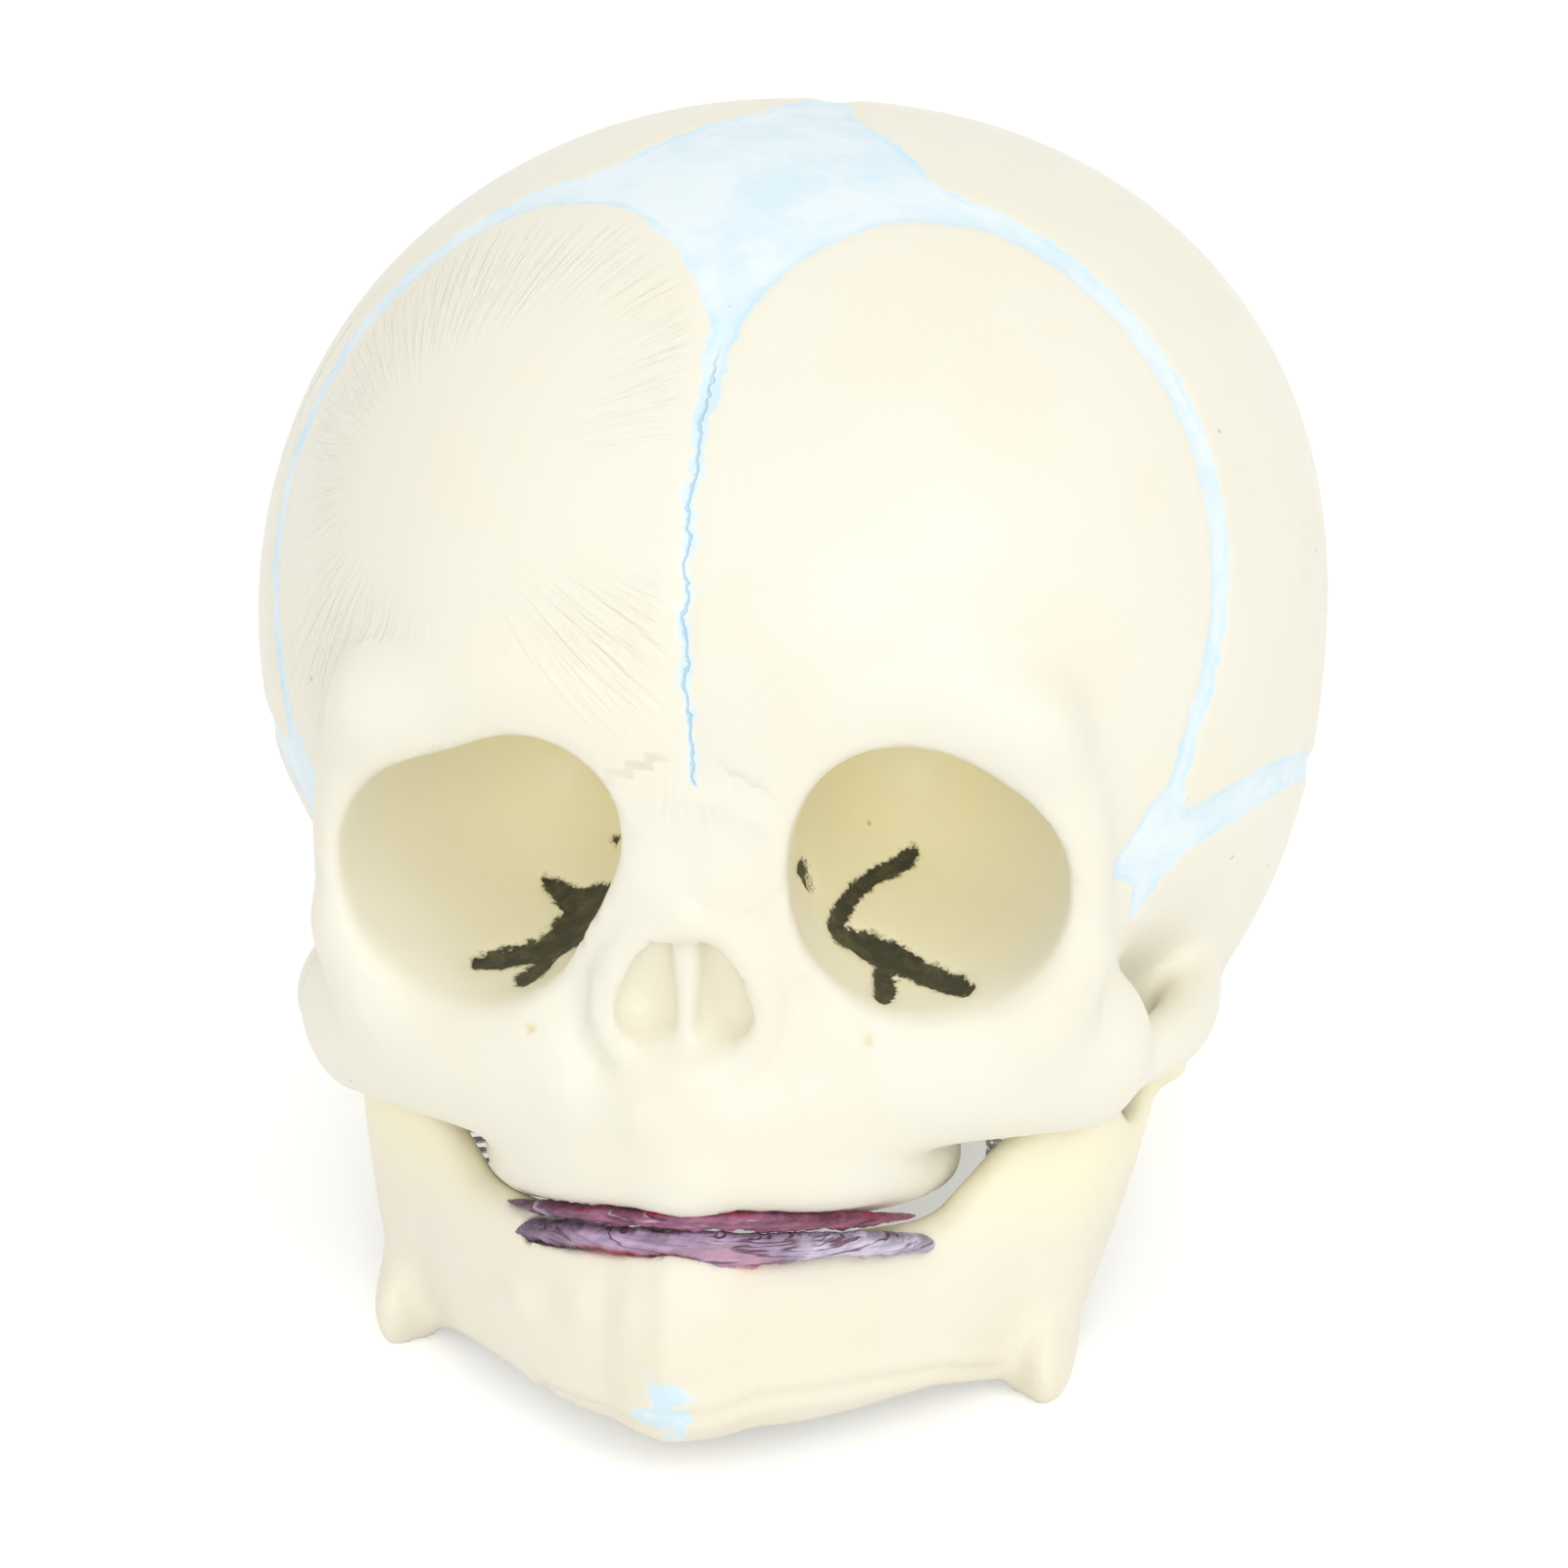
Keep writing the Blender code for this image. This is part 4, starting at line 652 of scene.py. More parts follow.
def split(names, verts, quads, body, slots, material, fields):
    """Parts one seamless skin into a piece for each CAD node; shared normals keep it seamless."""
    world = to_world(verts)
    normals = vertex_normals(world, quads)
    owner = nearest_nodes(names, world[quads].mean(axis=1))
    for number, name in enumerate(names):
        mine = quads[owner == number]
        if not len(mine):
            continue
        used, faces = np.unique(mine, return_inverse=True)
        own = {key: values[used] for key, values in fields.items()}
        piece = new_object(
            name + "_skin", world[used], faces.reshape(-1, 4), body, slots[name], [name], normals[used], own
        )
        piece.data.materials.append(material)


# Materials


# Painted shade: the warmer, yellower ivory that the orbits and other recesses take
RECESS_SHADE_IVORY = (0.995, 0.94, 0.69)
PALE_BLUE = (0.87, 0.96, 0.985)
CLEAR_BLUE = (0.75, 0.91, 0.98)
EDGE_BLUE = (0.60, 0.84, 0.96)
CRACK_BLUE = (0.36, 0.66, 0.86)
OCHRE = (0.80, 0.68, 0.30)
BLACK_PAINT = (0.04, 0.04, 0.026)
WORN_PAINT = (0.11, 0.10, 0.06)
HAZE = (0.22, 0.18, 0.07)
SPECK_BROWN = (0.40, 0.33, 0.20)
PINK = (0.62, 0.33, 0.45)
# Painted shade in the gums' creases
CREASE_SHADE = (0.13, 0.04, 0.08)
# Painted highlights on the gums
GLINT = (0.85, 0.76, 0.86)
DULL_STEEL = (0.55, 0.55, 0.57)
BRIGHT_STEEL = (0.66, 0.66, 0.67)
GREY_FLOOR = (0.90, 0.90, 0.90)
PALE_FLOOR = (0.92, 0.92, 0.92)
IVORY = (0.935, 0.905, 0.775)
WARM_IVORY = (0.925, 0.885, 0.735)
CREAM = (0.93, 0.885, 0.745)
WARM_CREAM = (0.915, 0.86, 0.695)
RED = (0.42, 0.03, 0.07)


class Nodes:
    """Builds a material's node tree with short calls."""

    def __init__(self, name):
        self.material = bpy.data.materials.new(name)
        self.material.use_nodes = True
        self.tree = self.material.node_tree
        self.shader = self.tree.nodes["Principled BSDF"]

    def put(self, kind, values=(), **settings):
        node = self.tree.nodes.new(kind)
        for key, value in settings.items():
            setattr(node, key, value)
        for key, value in dict(values).items():
            if isinstance(value, bpy.types.NodeSocket):
                self.tree.links.new(value, node.inputs[key])
            else:
                node.inputs[key].default_value = value
        return node

    def field(self, name):
        return self.put("ShaderNodeAttribute", attribute_name=name).outputs["Fac"]

    def place(self):
        return self.put("ShaderNodeTexCoord").outputs["Object"]

    def noise(self, scale, detail=2, rough=0.5, vector=None):
        values = {"Vector": vector or self.place(), "Scale": scale, "Detail": detail, "Roughness": rough}
        return self.put("ShaderNodeTexNoise", values).outputs["Fac"]

    def math(self, operation, *inputs):
        return self.put("ShaderNodeMath", enumerate(inputs), operation=operation).outputs[0]

    def ramp(self, value, low, high, to_low=0.0, to_high=1.0, smooth=True):
        values = {"Value": value, "From Min": low, "From Max": high, "To Min": to_low, "To Max": to_high}
        kind = "SMOOTHSTEP" if smooth else "LINEAR"
        return self.put("ShaderNodeMapRange", values, interpolation_type=kind).outputs["Result"]

    def mix(self, factor, a, b):
        node = self.put("ShaderNodeMix", data_type="RGBA")
        for socket, value in zip([node.inputs[0], node.inputs[6], node.inputs[7]], (factor, a, b)):
            if isinstance(value, bpy.types.NodeSocket):
                self.tree.links.new(value, socket)
            else:
                socket.default_value = value if isinstance(value, float) else (*value, 1)
        return node.outputs[2]

    def bump(self, height, strength, distance, normal=None):
        values = {"Height": height, "Strength": strength, "Distance": distance}
        if normal is not None:
            values["Normal"] = normal
        return self.put("ShaderNodeBump", values).outputs["Normal"]

    def finish(self, **values):
        for key, value in values.items():
            socket = self.shader.inputs[key.replace("_", " ")]
            if isinstance(value, bpy.types.NodeSocket):
                self.tree.links.new(value, socket)
            else:
                socket.default_value = value
        return self.material


def skin_material(name, ivory, warm):
    """Waxy ivory plastic with painted blue sutures, black fissures and yellowish pits, and painted shade, a
    warmer ivory, in the recesses.
    """
    n = Nodes(name)
    cloud = n.noise(60, 3)
    color = n.mix(n.ramp(cloud, 0.35, 0.7), ivory, warm)
    # Painted shade: a warmer ivory mixed in over the recesses
    color = n.mix(n.field("recess_shade"), color, RECESS_SHADE_IVORY)
    rag = n.ramp(n.noise(700, 3, 0.55), 0.3, 0.7, -0.2, 0.2)
    edge = n.math("ADD", n.field("blue_mm"), rag)
    steps = n.ramp(n.noise(380, 3, 0.6), 0.3, 0.7, -0.5, 0.5, smooth=False)
    aside = n.math("ABSOLUTE", n.math("ADD", n.field("across_mm"), steps))
    seam = n.math("ADD", n.math("SUBTRACT", aside, n.field("half_mm")), n.math("MULTIPLY", rag, 0.5))
    edge = n.math("MINIMUM", edge, seam)
    band_mask = n.ramp(edge, 0.35, -0.35)
    line = n.math("MULTIPLY", n.ramp(edge, 0.15, -0.15), n.ramp(edge, -0.95, -0.35))
    patchy = n.ramp(n.noise(130, 4, 0.65), 0.38, 0.64)
    pale = n.mix(patchy, PALE_BLUE, CLEAR_BLUE)
    strength = n.ramp(n.noise(220, 2), 0.35, 0.65, 0.05, 0.55)
    blue = n.mix(n.math("MULTIPLY", line, strength), pale, EDGE_BLUE)
    crack = n.math("MULTIPLY", n.ramp(aside, 0.16, 0.05), n.ramp(n.field("half_mm"), 0.1, 0.4))
    crack = n.math("MULTIPLY", crack, n.ramp(n.field("half_mm"), 1.3, 0.8))
    blue = n.mix(n.math("MULTIPLY", crack, 0.6), blue, CRACK_BLUE)
    color = n.mix(band_mask, color, blue)
    pit = n.ramp(n.math("ADD", n.field("ochre_mm"), rag), 0.5, -0.3, 0.0, 0.8)
    color = n.mix(pit, color, OCHRE)
    torn = n.ramp(n.noise(1100, 4, 0.65), 0.3, 0.7, -0.22, 0.22)
    dark = n.math("ADD", n.field("dark_mm"), torn)
    haze = n.ramp(dark, 0.35, -0.05)
    soot = n.mix(n.ramp(n.noise(500, 4, 0.7), 0.4, 0.7), BLACK_PAINT, WORN_PAINT)
    color = n.mix(n.math("MULTIPLY", haze, 0.5), color, HAZE)
    color = n.mix(n.ramp(dark, 0.1, -0.08), color, soot)
    speck = n.put("ShaderNodeTexVoronoi", {"Vector": n.place(), "Scale": 90.0}).outputs["Distance"]
    color = n.mix(n.ramp(speck, 0.03, 0.018, 0.0, 0.5), color, SPECK_BROWN)
    ray = n.math("ARCTAN2", n.field("ray_y"), n.field("ray_x"))
    squares = [n.math("POWER", n.math("ABSOLUTE", n.field(key)), 2.0) for key in ("ray_x", "ray_y")]
    reach = n.math("SQRT", n.math("ADD", *squares))
    fan = {"X": n.math("MULTIPLY", ray, 26.0), "Y": n.math("MULTIPLY", reach, 0.09)}
    comb = n.noise(1.0, 3, 0.6, n.put("ShaderNodeCombineXYZ", fan).outputs[0])
    fade = n.math("MULTIPLY", n.field("ray_gain"), n.ramp(n.noise(45, 1), 0.36, 0.6))
    fade = n.math("MULTIPLY", fade, n.ramp(edge, 0.6, 2.4))
    rays = n.math("MULTIPLY", n.ramp(comb, 0.3, 0.7), fade)
    normal = n.bump(n.math("SUBTRACT", rays, n.math("MULTIPLY", crack, 0.8)), 0.6, 0.0003)
    normal = n.bump(n.noise(260, 3, 0.55), 0.1, 0.0005, normal)
    rough = n.ramp(n.noise(500, 2), 0.3, 0.7, 0.36, 0.46)
    rough = n.math("ADD", rough, n.ramp(dark, 0.1, -0.15, 0.0, 0.2))
    return n.finish(Base_Color=color, Roughness=rough, Normal=normal, Specular_IOR_Level=0.4)


def gum_material(name, left, middle, right):
    """Wrinkled flesh colours that change from side to side, with painted shade in the folds and creases,
    painted whitish highlights and smears of red.
    """
    n = Nodes(name)
    side = n.field("across")
    color = n.mix(n.ramp(side, -15.0, -4.0), left, middle)
    color = n.mix(n.ramp(side, 6.0, 13.0), color, right)
    stretched = n.put("ShaderNodeMapping", {"Vector": n.place(), "Scale": (0.14, 0.22, 1.7)}).outputs[0]
    streak = n.noise(700, 5, 0.7, stretched)
    # Streaks of darker colour along the bump's low parts, partly the gum's own tone and partly painted shade,
    # and painted shade in the troughs of the folds
    tone_and_shade = n.math("MULTIPLY", n.ramp(streak, 0.36, 0.62, 0.6, 1.15),
                   n.ramp(n.field("fold"), -0.6, 0.7, 0.7, 1.1))
    color = n.put("ShaderNodeVectorMath", {0: color, 3: tone_and_shade}, operation="SCALE").outputs[0]
    flesh = n.math("MULTIPLY", n.field("pink"), n.ramp(n.noise(300, 3), 0.35, 0.6))
    color = n.mix(flesh, color, PINK)
    wave = n.math("ABSOLUTE", n.math("SUBTRACT", n.noise(520, 3, 0.55, stretched), 0.5))
    crease = n.math("MULTIPLY", n.ramp(wave, 0.028, 0.004), n.ramp(n.noise(170, 2), 0.42, 0.55))
    # Painted shade along the thin creases
    color = n.mix(n.math("MULTIPLY", crease, 0.85), color, CREASE_SHADE)
    smear = n.math("MULTIPLY", n.field("red"), n.ramp(n.noise(420, 4, 0.7, stretched), 0.40, 0.52))
    color = n.mix(smear, color, RED)
    # Painted highlights: small whitish glints mixed into the gum's colour
    glint = n.ramp(n.noise(1300, 3, 0.6, stretched), 0.63, 0.70, 0.0, 0.4)
    color = n.mix(glint, color, GLINT)
    height = n.math("SUBTRACT", streak, n.math("MULTIPLY", crease, 0.5))
    normal = n.bump(height, 0.7, 0.0006)
    rough = n.ramp(n.noise(600, 2), 0.3, 0.7, 0.26, 0.45)
    return n.finish(Base_Color=color, Roughness=rough, Normal=normal)


def steel_material():
    n = Nodes("bright_steel_wire")
    lines = n.put("ShaderNodeMapping", {"Vector": n.place(), "Scale": (1, 1, 0.15)}).outputs[0]
    rough = n.ramp(n.noise(4000, 2, 0.5, lines), 0.3, 0.7, 0.18, 0.36)
    color = n.mix(n.noise(900, 2), DULL_STEEL, BRIGHT_STEEL)
    return n.finish(Base_Color=color, Roughness=rough, Metallic=1.0)


def floor_material():
    """Pale board that the camera, and what shines, see a little lighter, so that it ends white."""
    n = Nodes("pale_floor")
    color = n.mix(n.noise(3, 2), GREY_FLOOR, PALE_FLOOR)
    rays = n.put("ShaderNodeLightPath").outputs
    seen = n.math("MAXIMUM", rays["Is Camera Ray"], rays["Is Glossy Ray"])
    seen = n.math("MAXIMUM", seen, rays["Is Transmission Ray"])
    glow = n.put("ShaderNodeEmission", {"Color": WHITE, "Strength": n.math("MULTIPLY", seen, FLOOR_GLOW)})
    both = n.put("ShaderNodeAddShader", {0: n.shader.outputs[0], 1: glow.outputs[0]})
    n.tree.links.new(both.outputs[0], n.tree.nodes["Material Output"].inputs["Surface"])
    return n.finish(Base_Color=color, Roughness=0.9, Specular_IOR_Level=0.1)


# Pieces


# Low swellings and dips over the tooth germs: pixel, then radius and height in millimetres
UPPER_GERMS = (
    ((572, 1112), 3.4, 0.55), ((652, 1140), 3.4, 0.6), ((612, 1085), 2.2, -0.3),
    ((735, 1140), 3.2, 0.25), ((820, 1125), 3.4, 0.3), ((905, 1120), 3.0, 0.2),
)
LOWER_GERMS = (
    ((528, 1325), 2.6, 0.5), ((590, 1330), 2.6, 0.45), ((640, 1342), 2.6, 0.3), ((745, 1345), 2.6, 0.35),
    ((820, 1325), 2.6, 0.4), ((560, 1330), 2.6, -0.25), ((900, 1320), 2.6, 0.25),
)
# The ridge down the chin, and the fine groove with its rim along the lower border of the jaw, in pixels
CHIN_RIDGE = ((683, 1300), (680, 1350), (678, 1400))
JAW_BORDERS = (
    ((485, 1372), (560, 1412), (640, 1446), (676, 1458)),
    ((700, 1446), (780, 1424), (880, 1410), (960, 1396), (1010, 1396)),
)


def germs(points, shape, rows):
    """The swellings' height at each point of a shape's skin."""
    rise = np.zeros(len(points))
    for pixel, radius, height in rows:
        away = np.linalg.norm(points - seen_at(shape, [pixel])[0], axis=1) / radius
        rise += height * np.exp(-away ** 2 * 2)
    return rise


# Fine ridges over the bridge of the nose: middle, reach, and the height that they fan out from
NOSE_BRIDGE = np.array((0.5, -42, 52.5))
NOSE_BRIDGE_REACH = (6, 14, 5)
NOSE_FAN_HEIGHT = 78
# Where rays of young bone spread from on the vault: azimuth, elevation, and how strong they show
EMINENCES = ((30, 26, 0.3), (-30, 26, 1.0), (108, 24, 0.4), (-108, 24, 0.4), (180, -5, 0.4))


def from_middle(points):
    """Each point's distance from the middle of the vault, and its direction."""
    offset = points - VAULT_CENTRE
    length = np.linalg.norm(offset, axis=1)
    return length, offset / length[:, None]


def ray_fields(points):
    """Flat coordinates about the nearest eminence of the vault, and the strength of its rays."""
    length, directions = from_middle(points)
    x = np.zeros(len(points))
    y = np.zeros(len(points))
    gain = np.zeros(len(points))
    closest = np.full(len(points), -2.0)
    for azimuth, elevation, strength in EMINENCES:
        centre = aim(azimuth, elevation)
        east = np.cross((0, 0, 1), centre)
        east /= np.linalg.norm(east)
        north = np.cross(centre, east)
        near = directions @ centre
        better = near > closest
        closest = np.where(better, near, closest)
        x = np.where(better, directions @ east * length, x)
        y = np.where(better, directions @ north * length, y)
        gain = np.where(better, strength, gain)
    far = np.hypot(x, y)
    gain = gain * np.clip((far - 8) / 8, 0, 1) * np.clip((29 - far) / 6, 0, 1)
    gain = gain * (np.abs(length - vault_radius(directions)) < 0.8)
    # Fine upright ridges over the bridge of the nose fan out from a point above it
    away = (points - NOSE_BRIDGE) / NOSE_BRIDGE_REACH
    bridge = np.exp(-(away ** 2).sum(axis=1)) * (points[:, 1] < -30)
    here = bridge > 0.1
    x = np.where(here, points[:, 0], x)
    y = np.where(here, points[:, 2] - NOSE_FAN_HEIGHT, y)
    return x, y, np.where(here, 1.8 * bridge, gain)


# In millimetres: how far down the membranes and the painted strokes lie, and the height of the lip at a
# membrane
MEMBRANE_DEPTH = 0.3
PAINT_DEPTH = 0.5
LIP_HEIGHT = 0.06


def inside(distance, width):
    """One inside an edge and zero outside it, with a soft step of a given width."""
    return 1 / (1 + np.exp(np.clip(distance / width, -30, 30)))


def cranium_skin():
    low, high = np.array((-50.0, -60.0, 10.0)), np.array((50.0, 64.0, 107.0))
    verts, quads = surface(cranium, low, high, GRID_STEP)
    length, directions = from_middle(verts)
    on_vault = length - vault_radius(directions) > -0.5
    blue = np.where(on_vault, blue_edges(verts), 20)
    across, half = metopic_fields(verts)
    near_blue = np.minimum(blue, np.abs(across) - half)
    normals = vertex_normals(verts, quads)
    sunken = -cranium_blank(verts)[0] * (verts[:, 1] < -12) * (verts[:, 2] > 30)
    facing = normals @ camera_axes()[3] > 0
    dark = strokes(verts, FISSURES, facing & (sunken > 1) & (np.abs(verts[:, 0]) > 6.5))
    ochre = strokes(verts, [(spot_at, spot_at) for spot_at in FORAMINA], facing & (sunken < 1))
    x, y, gain = ray_fields(verts)
    # Painted shade: how strongly the recesses take the warmer ivory, more so further in and less so low down
    # and far out
    recess_shade = np.clip(sunken / 3, 0, 1) * np.clip((verts[:, 1] + 43) / 10, 0.3, 1)
    outer_and_low = np.maximum(np.abs(verts[:, 0]) - 19, 0) + np.maximum(47 - verts[:, 2], 0)
    recess_shade *= np.clip(1 - 0.05 * outer_and_low, 0.35, 1)
    lip = LIP_HEIGHT * np.exp(-((near_blue - 0.4) / 0.5) ** 2)
    rise = lip - MEMBRANE_DEPTH * inside(near_blue + 0.1, 0.25)
    rise -= PAINT_DEPTH * (inside(dark, 0.2) + inside(ochre, 0.2))
    rise += germs(verts, cranium, UPPER_GERMS)
    rise += 0.3 * np.exp(-(tube(verts, seen_at(cranium, NASAL_TOP), 0) / 0.9) ** 2)
    verts = verts + normals * rise[:, None]
    fields = {
        "blue_mm": blue, "dark_mm": dark, "ochre_mm": ochre, "recess_shade": recess_shade,
        "across_mm": across, "half_mm": half, "ray_x": x, "ray_y": y, "ray_gain": gain,
    }
    names = [name for name in frame["nodes"] if slot_of(name) in ("ivory_plastic", "pale_blue_plastic")]
    names = [name for name in sorted(names) if body_of(name) == "cranium"]
    slots = {name: slot_of(name) for name in names}
    material = skin_material("ivory_and_blue_plastic", IVORY, WARM_IVORY)
    split(names, verts, quads, "cranium", slots, material, fields)


def slot_of(node):
    for row in frame["record"]["subparts"]:
        if row["node"] == node:
            return row["material_slot"]
    return ""


def body_of(node):
    for body, members in frame["record"]["behaviour"]["bodies"].items():
        if node in members:
            return body
    return ""


# Half of the lower jaw, chin to condyle: place across and forwards, lower and upper edge, thickness
JAW_ROWS = (
    (0.00, 0.93, 0.00, 0.28, 0.97), (0.19, 0.89, -0.01, 0.28, 1.00), (0.38, 0.79, 0.00, 0.28, 1.03),
    (0.54, 0.705, 0.02, 0.285, 0.95), (0.61, 0.66, 0.015, 0.35, 0.84), (0.68, 0.615, 0.01, 0.42, 0.72),
    (0.80, 0.555, -0.02, 0.44, 0.48), (0.84, 0.50, 0.01, 0.435, 0.44), (0.87, 0.43, 0.09, 0.40, 0.42),
    (0.89, 0.34, 0.18, 0.35, 0.42),
    (0.91, 0.26, 0.27, 0.36, 0.42), (0.92, 0.19, 0.34, 0.41, 0.47),
)
JAW_THICKNESS = 7.2
JAW_LEAN = 0.18
GONIAL = ((0.79, 0.57, 0.035), (0.055, 0.095, 0.07))
CHIN = ((0.00, 0.955, 0.13), (0.12, 0.06, 0.13))


def jaw_half(points, side):
    """An upright oval swept along the jaw in plan, leaning outwards with height."""
    rows = np.array(JAW_ROWS)
    rows = np.concatenate([[(-rows[1, 0], *rows[1, 1:])], rows])
    path = curve(rows, 6)
    path = path[path[:, 0] > -0.08]
    plan = path[:, :2] * (side * FACE[0], FACE[1])
    low, high = path[:, 2] * FACE[2], path[:, 3] * FACE[2]
    thick = path[:, 4] * JAW_THICKNESS / 2
    best = np.full(len(points), 1e3)
    for k in range(len(plan) - 1):
        run = plan[k + 1] - plan[k]
        t = np.clip((points[:, :2] - plan[k]) @ run / (run @ run), 0, 1)
        outward = side * np.array((-run[1], run[0])) / np.linalg.norm(run)
        outward = outward if outward[0] * side > 0 or abs(outward[0]) < 0.2 else -outward
        bottom = low[k] + t * (low[k + 1] - low[k])
        top = high[k] + t * (high[k + 1] - high[k])
        half = (top - bottom) / 2
        rise = points[:, 2] - (top + bottom) / 2
        flat = points[:, :2] - plan[k] - t[:, None] * run
        flat[:, 0] -= side * JAW_LEAN * (path[k, 0] + t * (path[k + 1, 0] - path[k, 0])) * rise
        reach = np.linalg.norm(flat, axis=1)
        width = thick[k] + t * (thick[k + 1] - thick[k])
        near = ((reach / width) ** 2.4 + np.abs(rise / half) ** 2.4) ** (1 / 2.4)
        best = np.minimum(best, (near - 1) * np.minimum(width, half) / np.maximum(near, 0.6) * near)
    return best


def jaw(points):
    """The lower jaw."""
    solid = np.full(len(points), 1e3)
    for side in SIDES:
        solid = join(solid, jaw_half(points, side), 1.5)
        ball(solid, points, spot(CONDYLE[0], side), CONDYLE[1], 1.5)
        ball(solid, points, spot(GONIAL[0], side), GONIAL[1] * FACE_SPAN, 2.5)
    ball(solid, points, spot(CHIN[0]), CHIN[1] * FACE_SPAN, 3.0)
    bar(solid, points, arch(LOWER_GUM)[3:-3, :3], 1.3, 0.4, cut)
    return np.maximum(solid, under_table(points))


def jaw_skin():
    low, high = np.array((-40.0, -54.0, -8.0)), np.array((40.0, -4.0, 32.0))
    verts, quads = surface(jaw, low, high, JAW_STEP)
    normals = vertex_normals(verts, quads)
    rise = germs(verts, jaw, LOWER_GERMS)
    rise += 0.45 * np.exp(-(tube(verts, seen_at(jaw, CHIN_RIDGE), 0) / 1.3) ** 2)
    rim = np.minimum(*[tube(verts, seen_at(jaw, pixels), 0) for pixels in JAW_BORDERS])
    rise += 0.4 * np.exp(-((rim - 1.0) / 1.2) ** 2) - 0.25 * np.exp(-(rim / 0.7) ** 2)
    verts = verts + normals * rise[:, None]
    blue = strokes(verts, CHIN_PAINT, normals @ camera_axes()[3] > 0)
    none = np.full(len(verts), 20.0)
    fields = {"blue_mm": blue, "dark_mm": none, "ochre_mm": none}
    fields.update({key: 0 * none for key in ("ray_x", "ray_y", "ray_gain", "across_mm")})
    fields["half_mm"] = 0 * none - 10
    # Painted shade: a warmer tone over the upper parts of the rami, behind the cheeks
    fields["recess_shade"] = np.clip((verts[:, 2] - 12) / 8, 0, 0.9) * np.clip((verts[:, 1] + 38) / 6, 0, 1)
    names = ["mandible_left", "mandible_right", "mandibular_symphysis"]
    slots = {name: "cream_plastic" for name in names}
    material = skin_material("cream_plastic_skin", CREAM, WARM_CREAM)
    split(names, verts, quads, "lower_jaw", slots, material, fields)


def face_outwards(mesh, close_ends=False):
    """Turns all faces outwards, once open ends are closed where that is asked for."""
    shape = bmesh.new()
    shape.from_mesh(mesh)
    if close_ends:
        bmesh.ops.holes_fill(shape, edges=[edge for edge in shape.edges if edge.is_boundary])
    bmesh.ops.recalc_face_normals(shape, faces=shape.faces)
    shape.to_mesh(mesh)
    shape.free()
    mesh.shade_smooth()


def ripple(values, seed):
    """Irregular waves of about one, the same on each run."""
    total = 0.5 * np.sin(values + seed) + 0.3 * np.sin(2.3 * values + 2.1 * seed)
    return total + 0.2 * np.sin(5.1 * values + 0.7 * seed)


def ribbon(name, rows, half_depth, body, node, material, hang, red_spans, bluntness):
    """A wrinkled gum along the arch. It hangs lower where `hang` says, and is smeared red over some spans."""
    steps, sides = 44, 28
    path = arch(rows, steps)
    keys, half_height = path[:, :3], path[:, 3]
    along = np.gradient(keys, axis=0)
    along /= np.linalg.norm(along, axis=1)[:, None]
    outward = np.stack((-along[:, 1], along[:, 0], 0 * along[:, 0]), axis=1)
    outward *= np.where(outward[:, 1:2] > 0, -1, 1)
    count = len(keys)
    share = np.linspace(-1, 1, count)
    taper = np.clip(1 - np.abs(share) ** bluntness, 0.03, 1) ** 0.5
    travel = np.concatenate([[0], np.cumsum(np.linalg.norm(np.diff(keys, axis=0), axis=1))])
    angle = 2 * np.pi * np.arange(sides) / sides
    s, a = np.meshgrid(travel, angle, indexing="ij")
    up, out = np.sin(a), np.cos(a)
    fold = ripple(3.0 * a + 0.22 * s, 0.4) * 0.6 + ripple(1.6 * s + 1.5 * up, 1.7) * 0.5
    lower = np.maximum(-up, 0)
    edge = ripple(0.9 * s, 2.6) * 0.25 + ripple(2.7 * s, 0.9) * 0.14
    rise = up * half_height[:, None] + np.maximum(up, 0) * edge * 0.5
    rise -= lower * (np.array([hang(x) for x in keys[:, 0]])[:, None] + edge)
    reach = out * half_depth + 0.22 * fold * np.maximum(out, 0)
    verts = keys[:, None] + outward[:, None] * (reach * taper[:, None])[..., None]
    verts[..., 2] += rise * taper[:, None] + 0.05 * fold
    red = np.zeros(verts.shape[:2])
    for low, high, way, start in red_spans:
        spread = inside(np.maximum(low - keys[:, 0], keys[:, 0] - high), 0.4)
        red = np.maximum(red, spread[:, None] * np.clip((way * up - start) * 4, 0, 1))
    pink = np.array([hang(x) for x in keys[:, 0]])[:, None] * np.clip(0.6 - up, 0, 1)
    k, c = np.meshgrid(np.arange(count - 1), np.arange(sides), indexing="ij")
    k, c, d = k.ravel() * sides, c.ravel(), (c.ravel() + 1) % sides
    faces = np.stack((k + c, k + d, k + sides + d, k + sides + c), axis=1)
    fields = {"across": verts[..., 0].ravel(), "fold": fold.ravel(), "red": red.ravel(), "pink": pink.ravel()}
    verts = to_world(verts.reshape(-1, 3))
    made = new_object(name, verts, faces, body, "mauve_plastic", [node], None, fields)
    face_outwards(made.data, close_ends=True)
    made.data.materials.append(material)


# The gums' colours on the skull's right, in the middle and on its left
UPPER_FLESH = ((0.21, 0.10, 0.18), (0.38, 0.14, 0.24), (0.32, 0.095, 0.16))
LOWER_FLESH = ((0.27, 0.17, 0.27), (0.53, 0.38, 0.56), (0.66, 0.58, 0.74))


def gums():
    upper = gum_material("upper_gum_plastic", *UPPER_FLESH)
    lower = gum_material("lower_gum_plastic", *LOWER_FLESH)
    tops = ((-11, -1, 1, 0.55), (14.5, 16.5, 1, 0.6), (2, 6, 1, 0.8))
    ribbon("upper_gum_skin", UPPER_GUM, 1.3, "cranium", "upper_gum", upper, lambda x: 0, tops, 5)

    def hang(x):
        return 1.0 * math.exp(-((x - 4.5) / 3.8) ** 2)

    edges = ((-9, 1, -1, 0.35), (1, 7, -1, 0.75))
    ribbon("lower_gum_skin", LOWER_GUM, 1.3, "lower_jaw", "lower_gum", lower, hang, edges, 30)


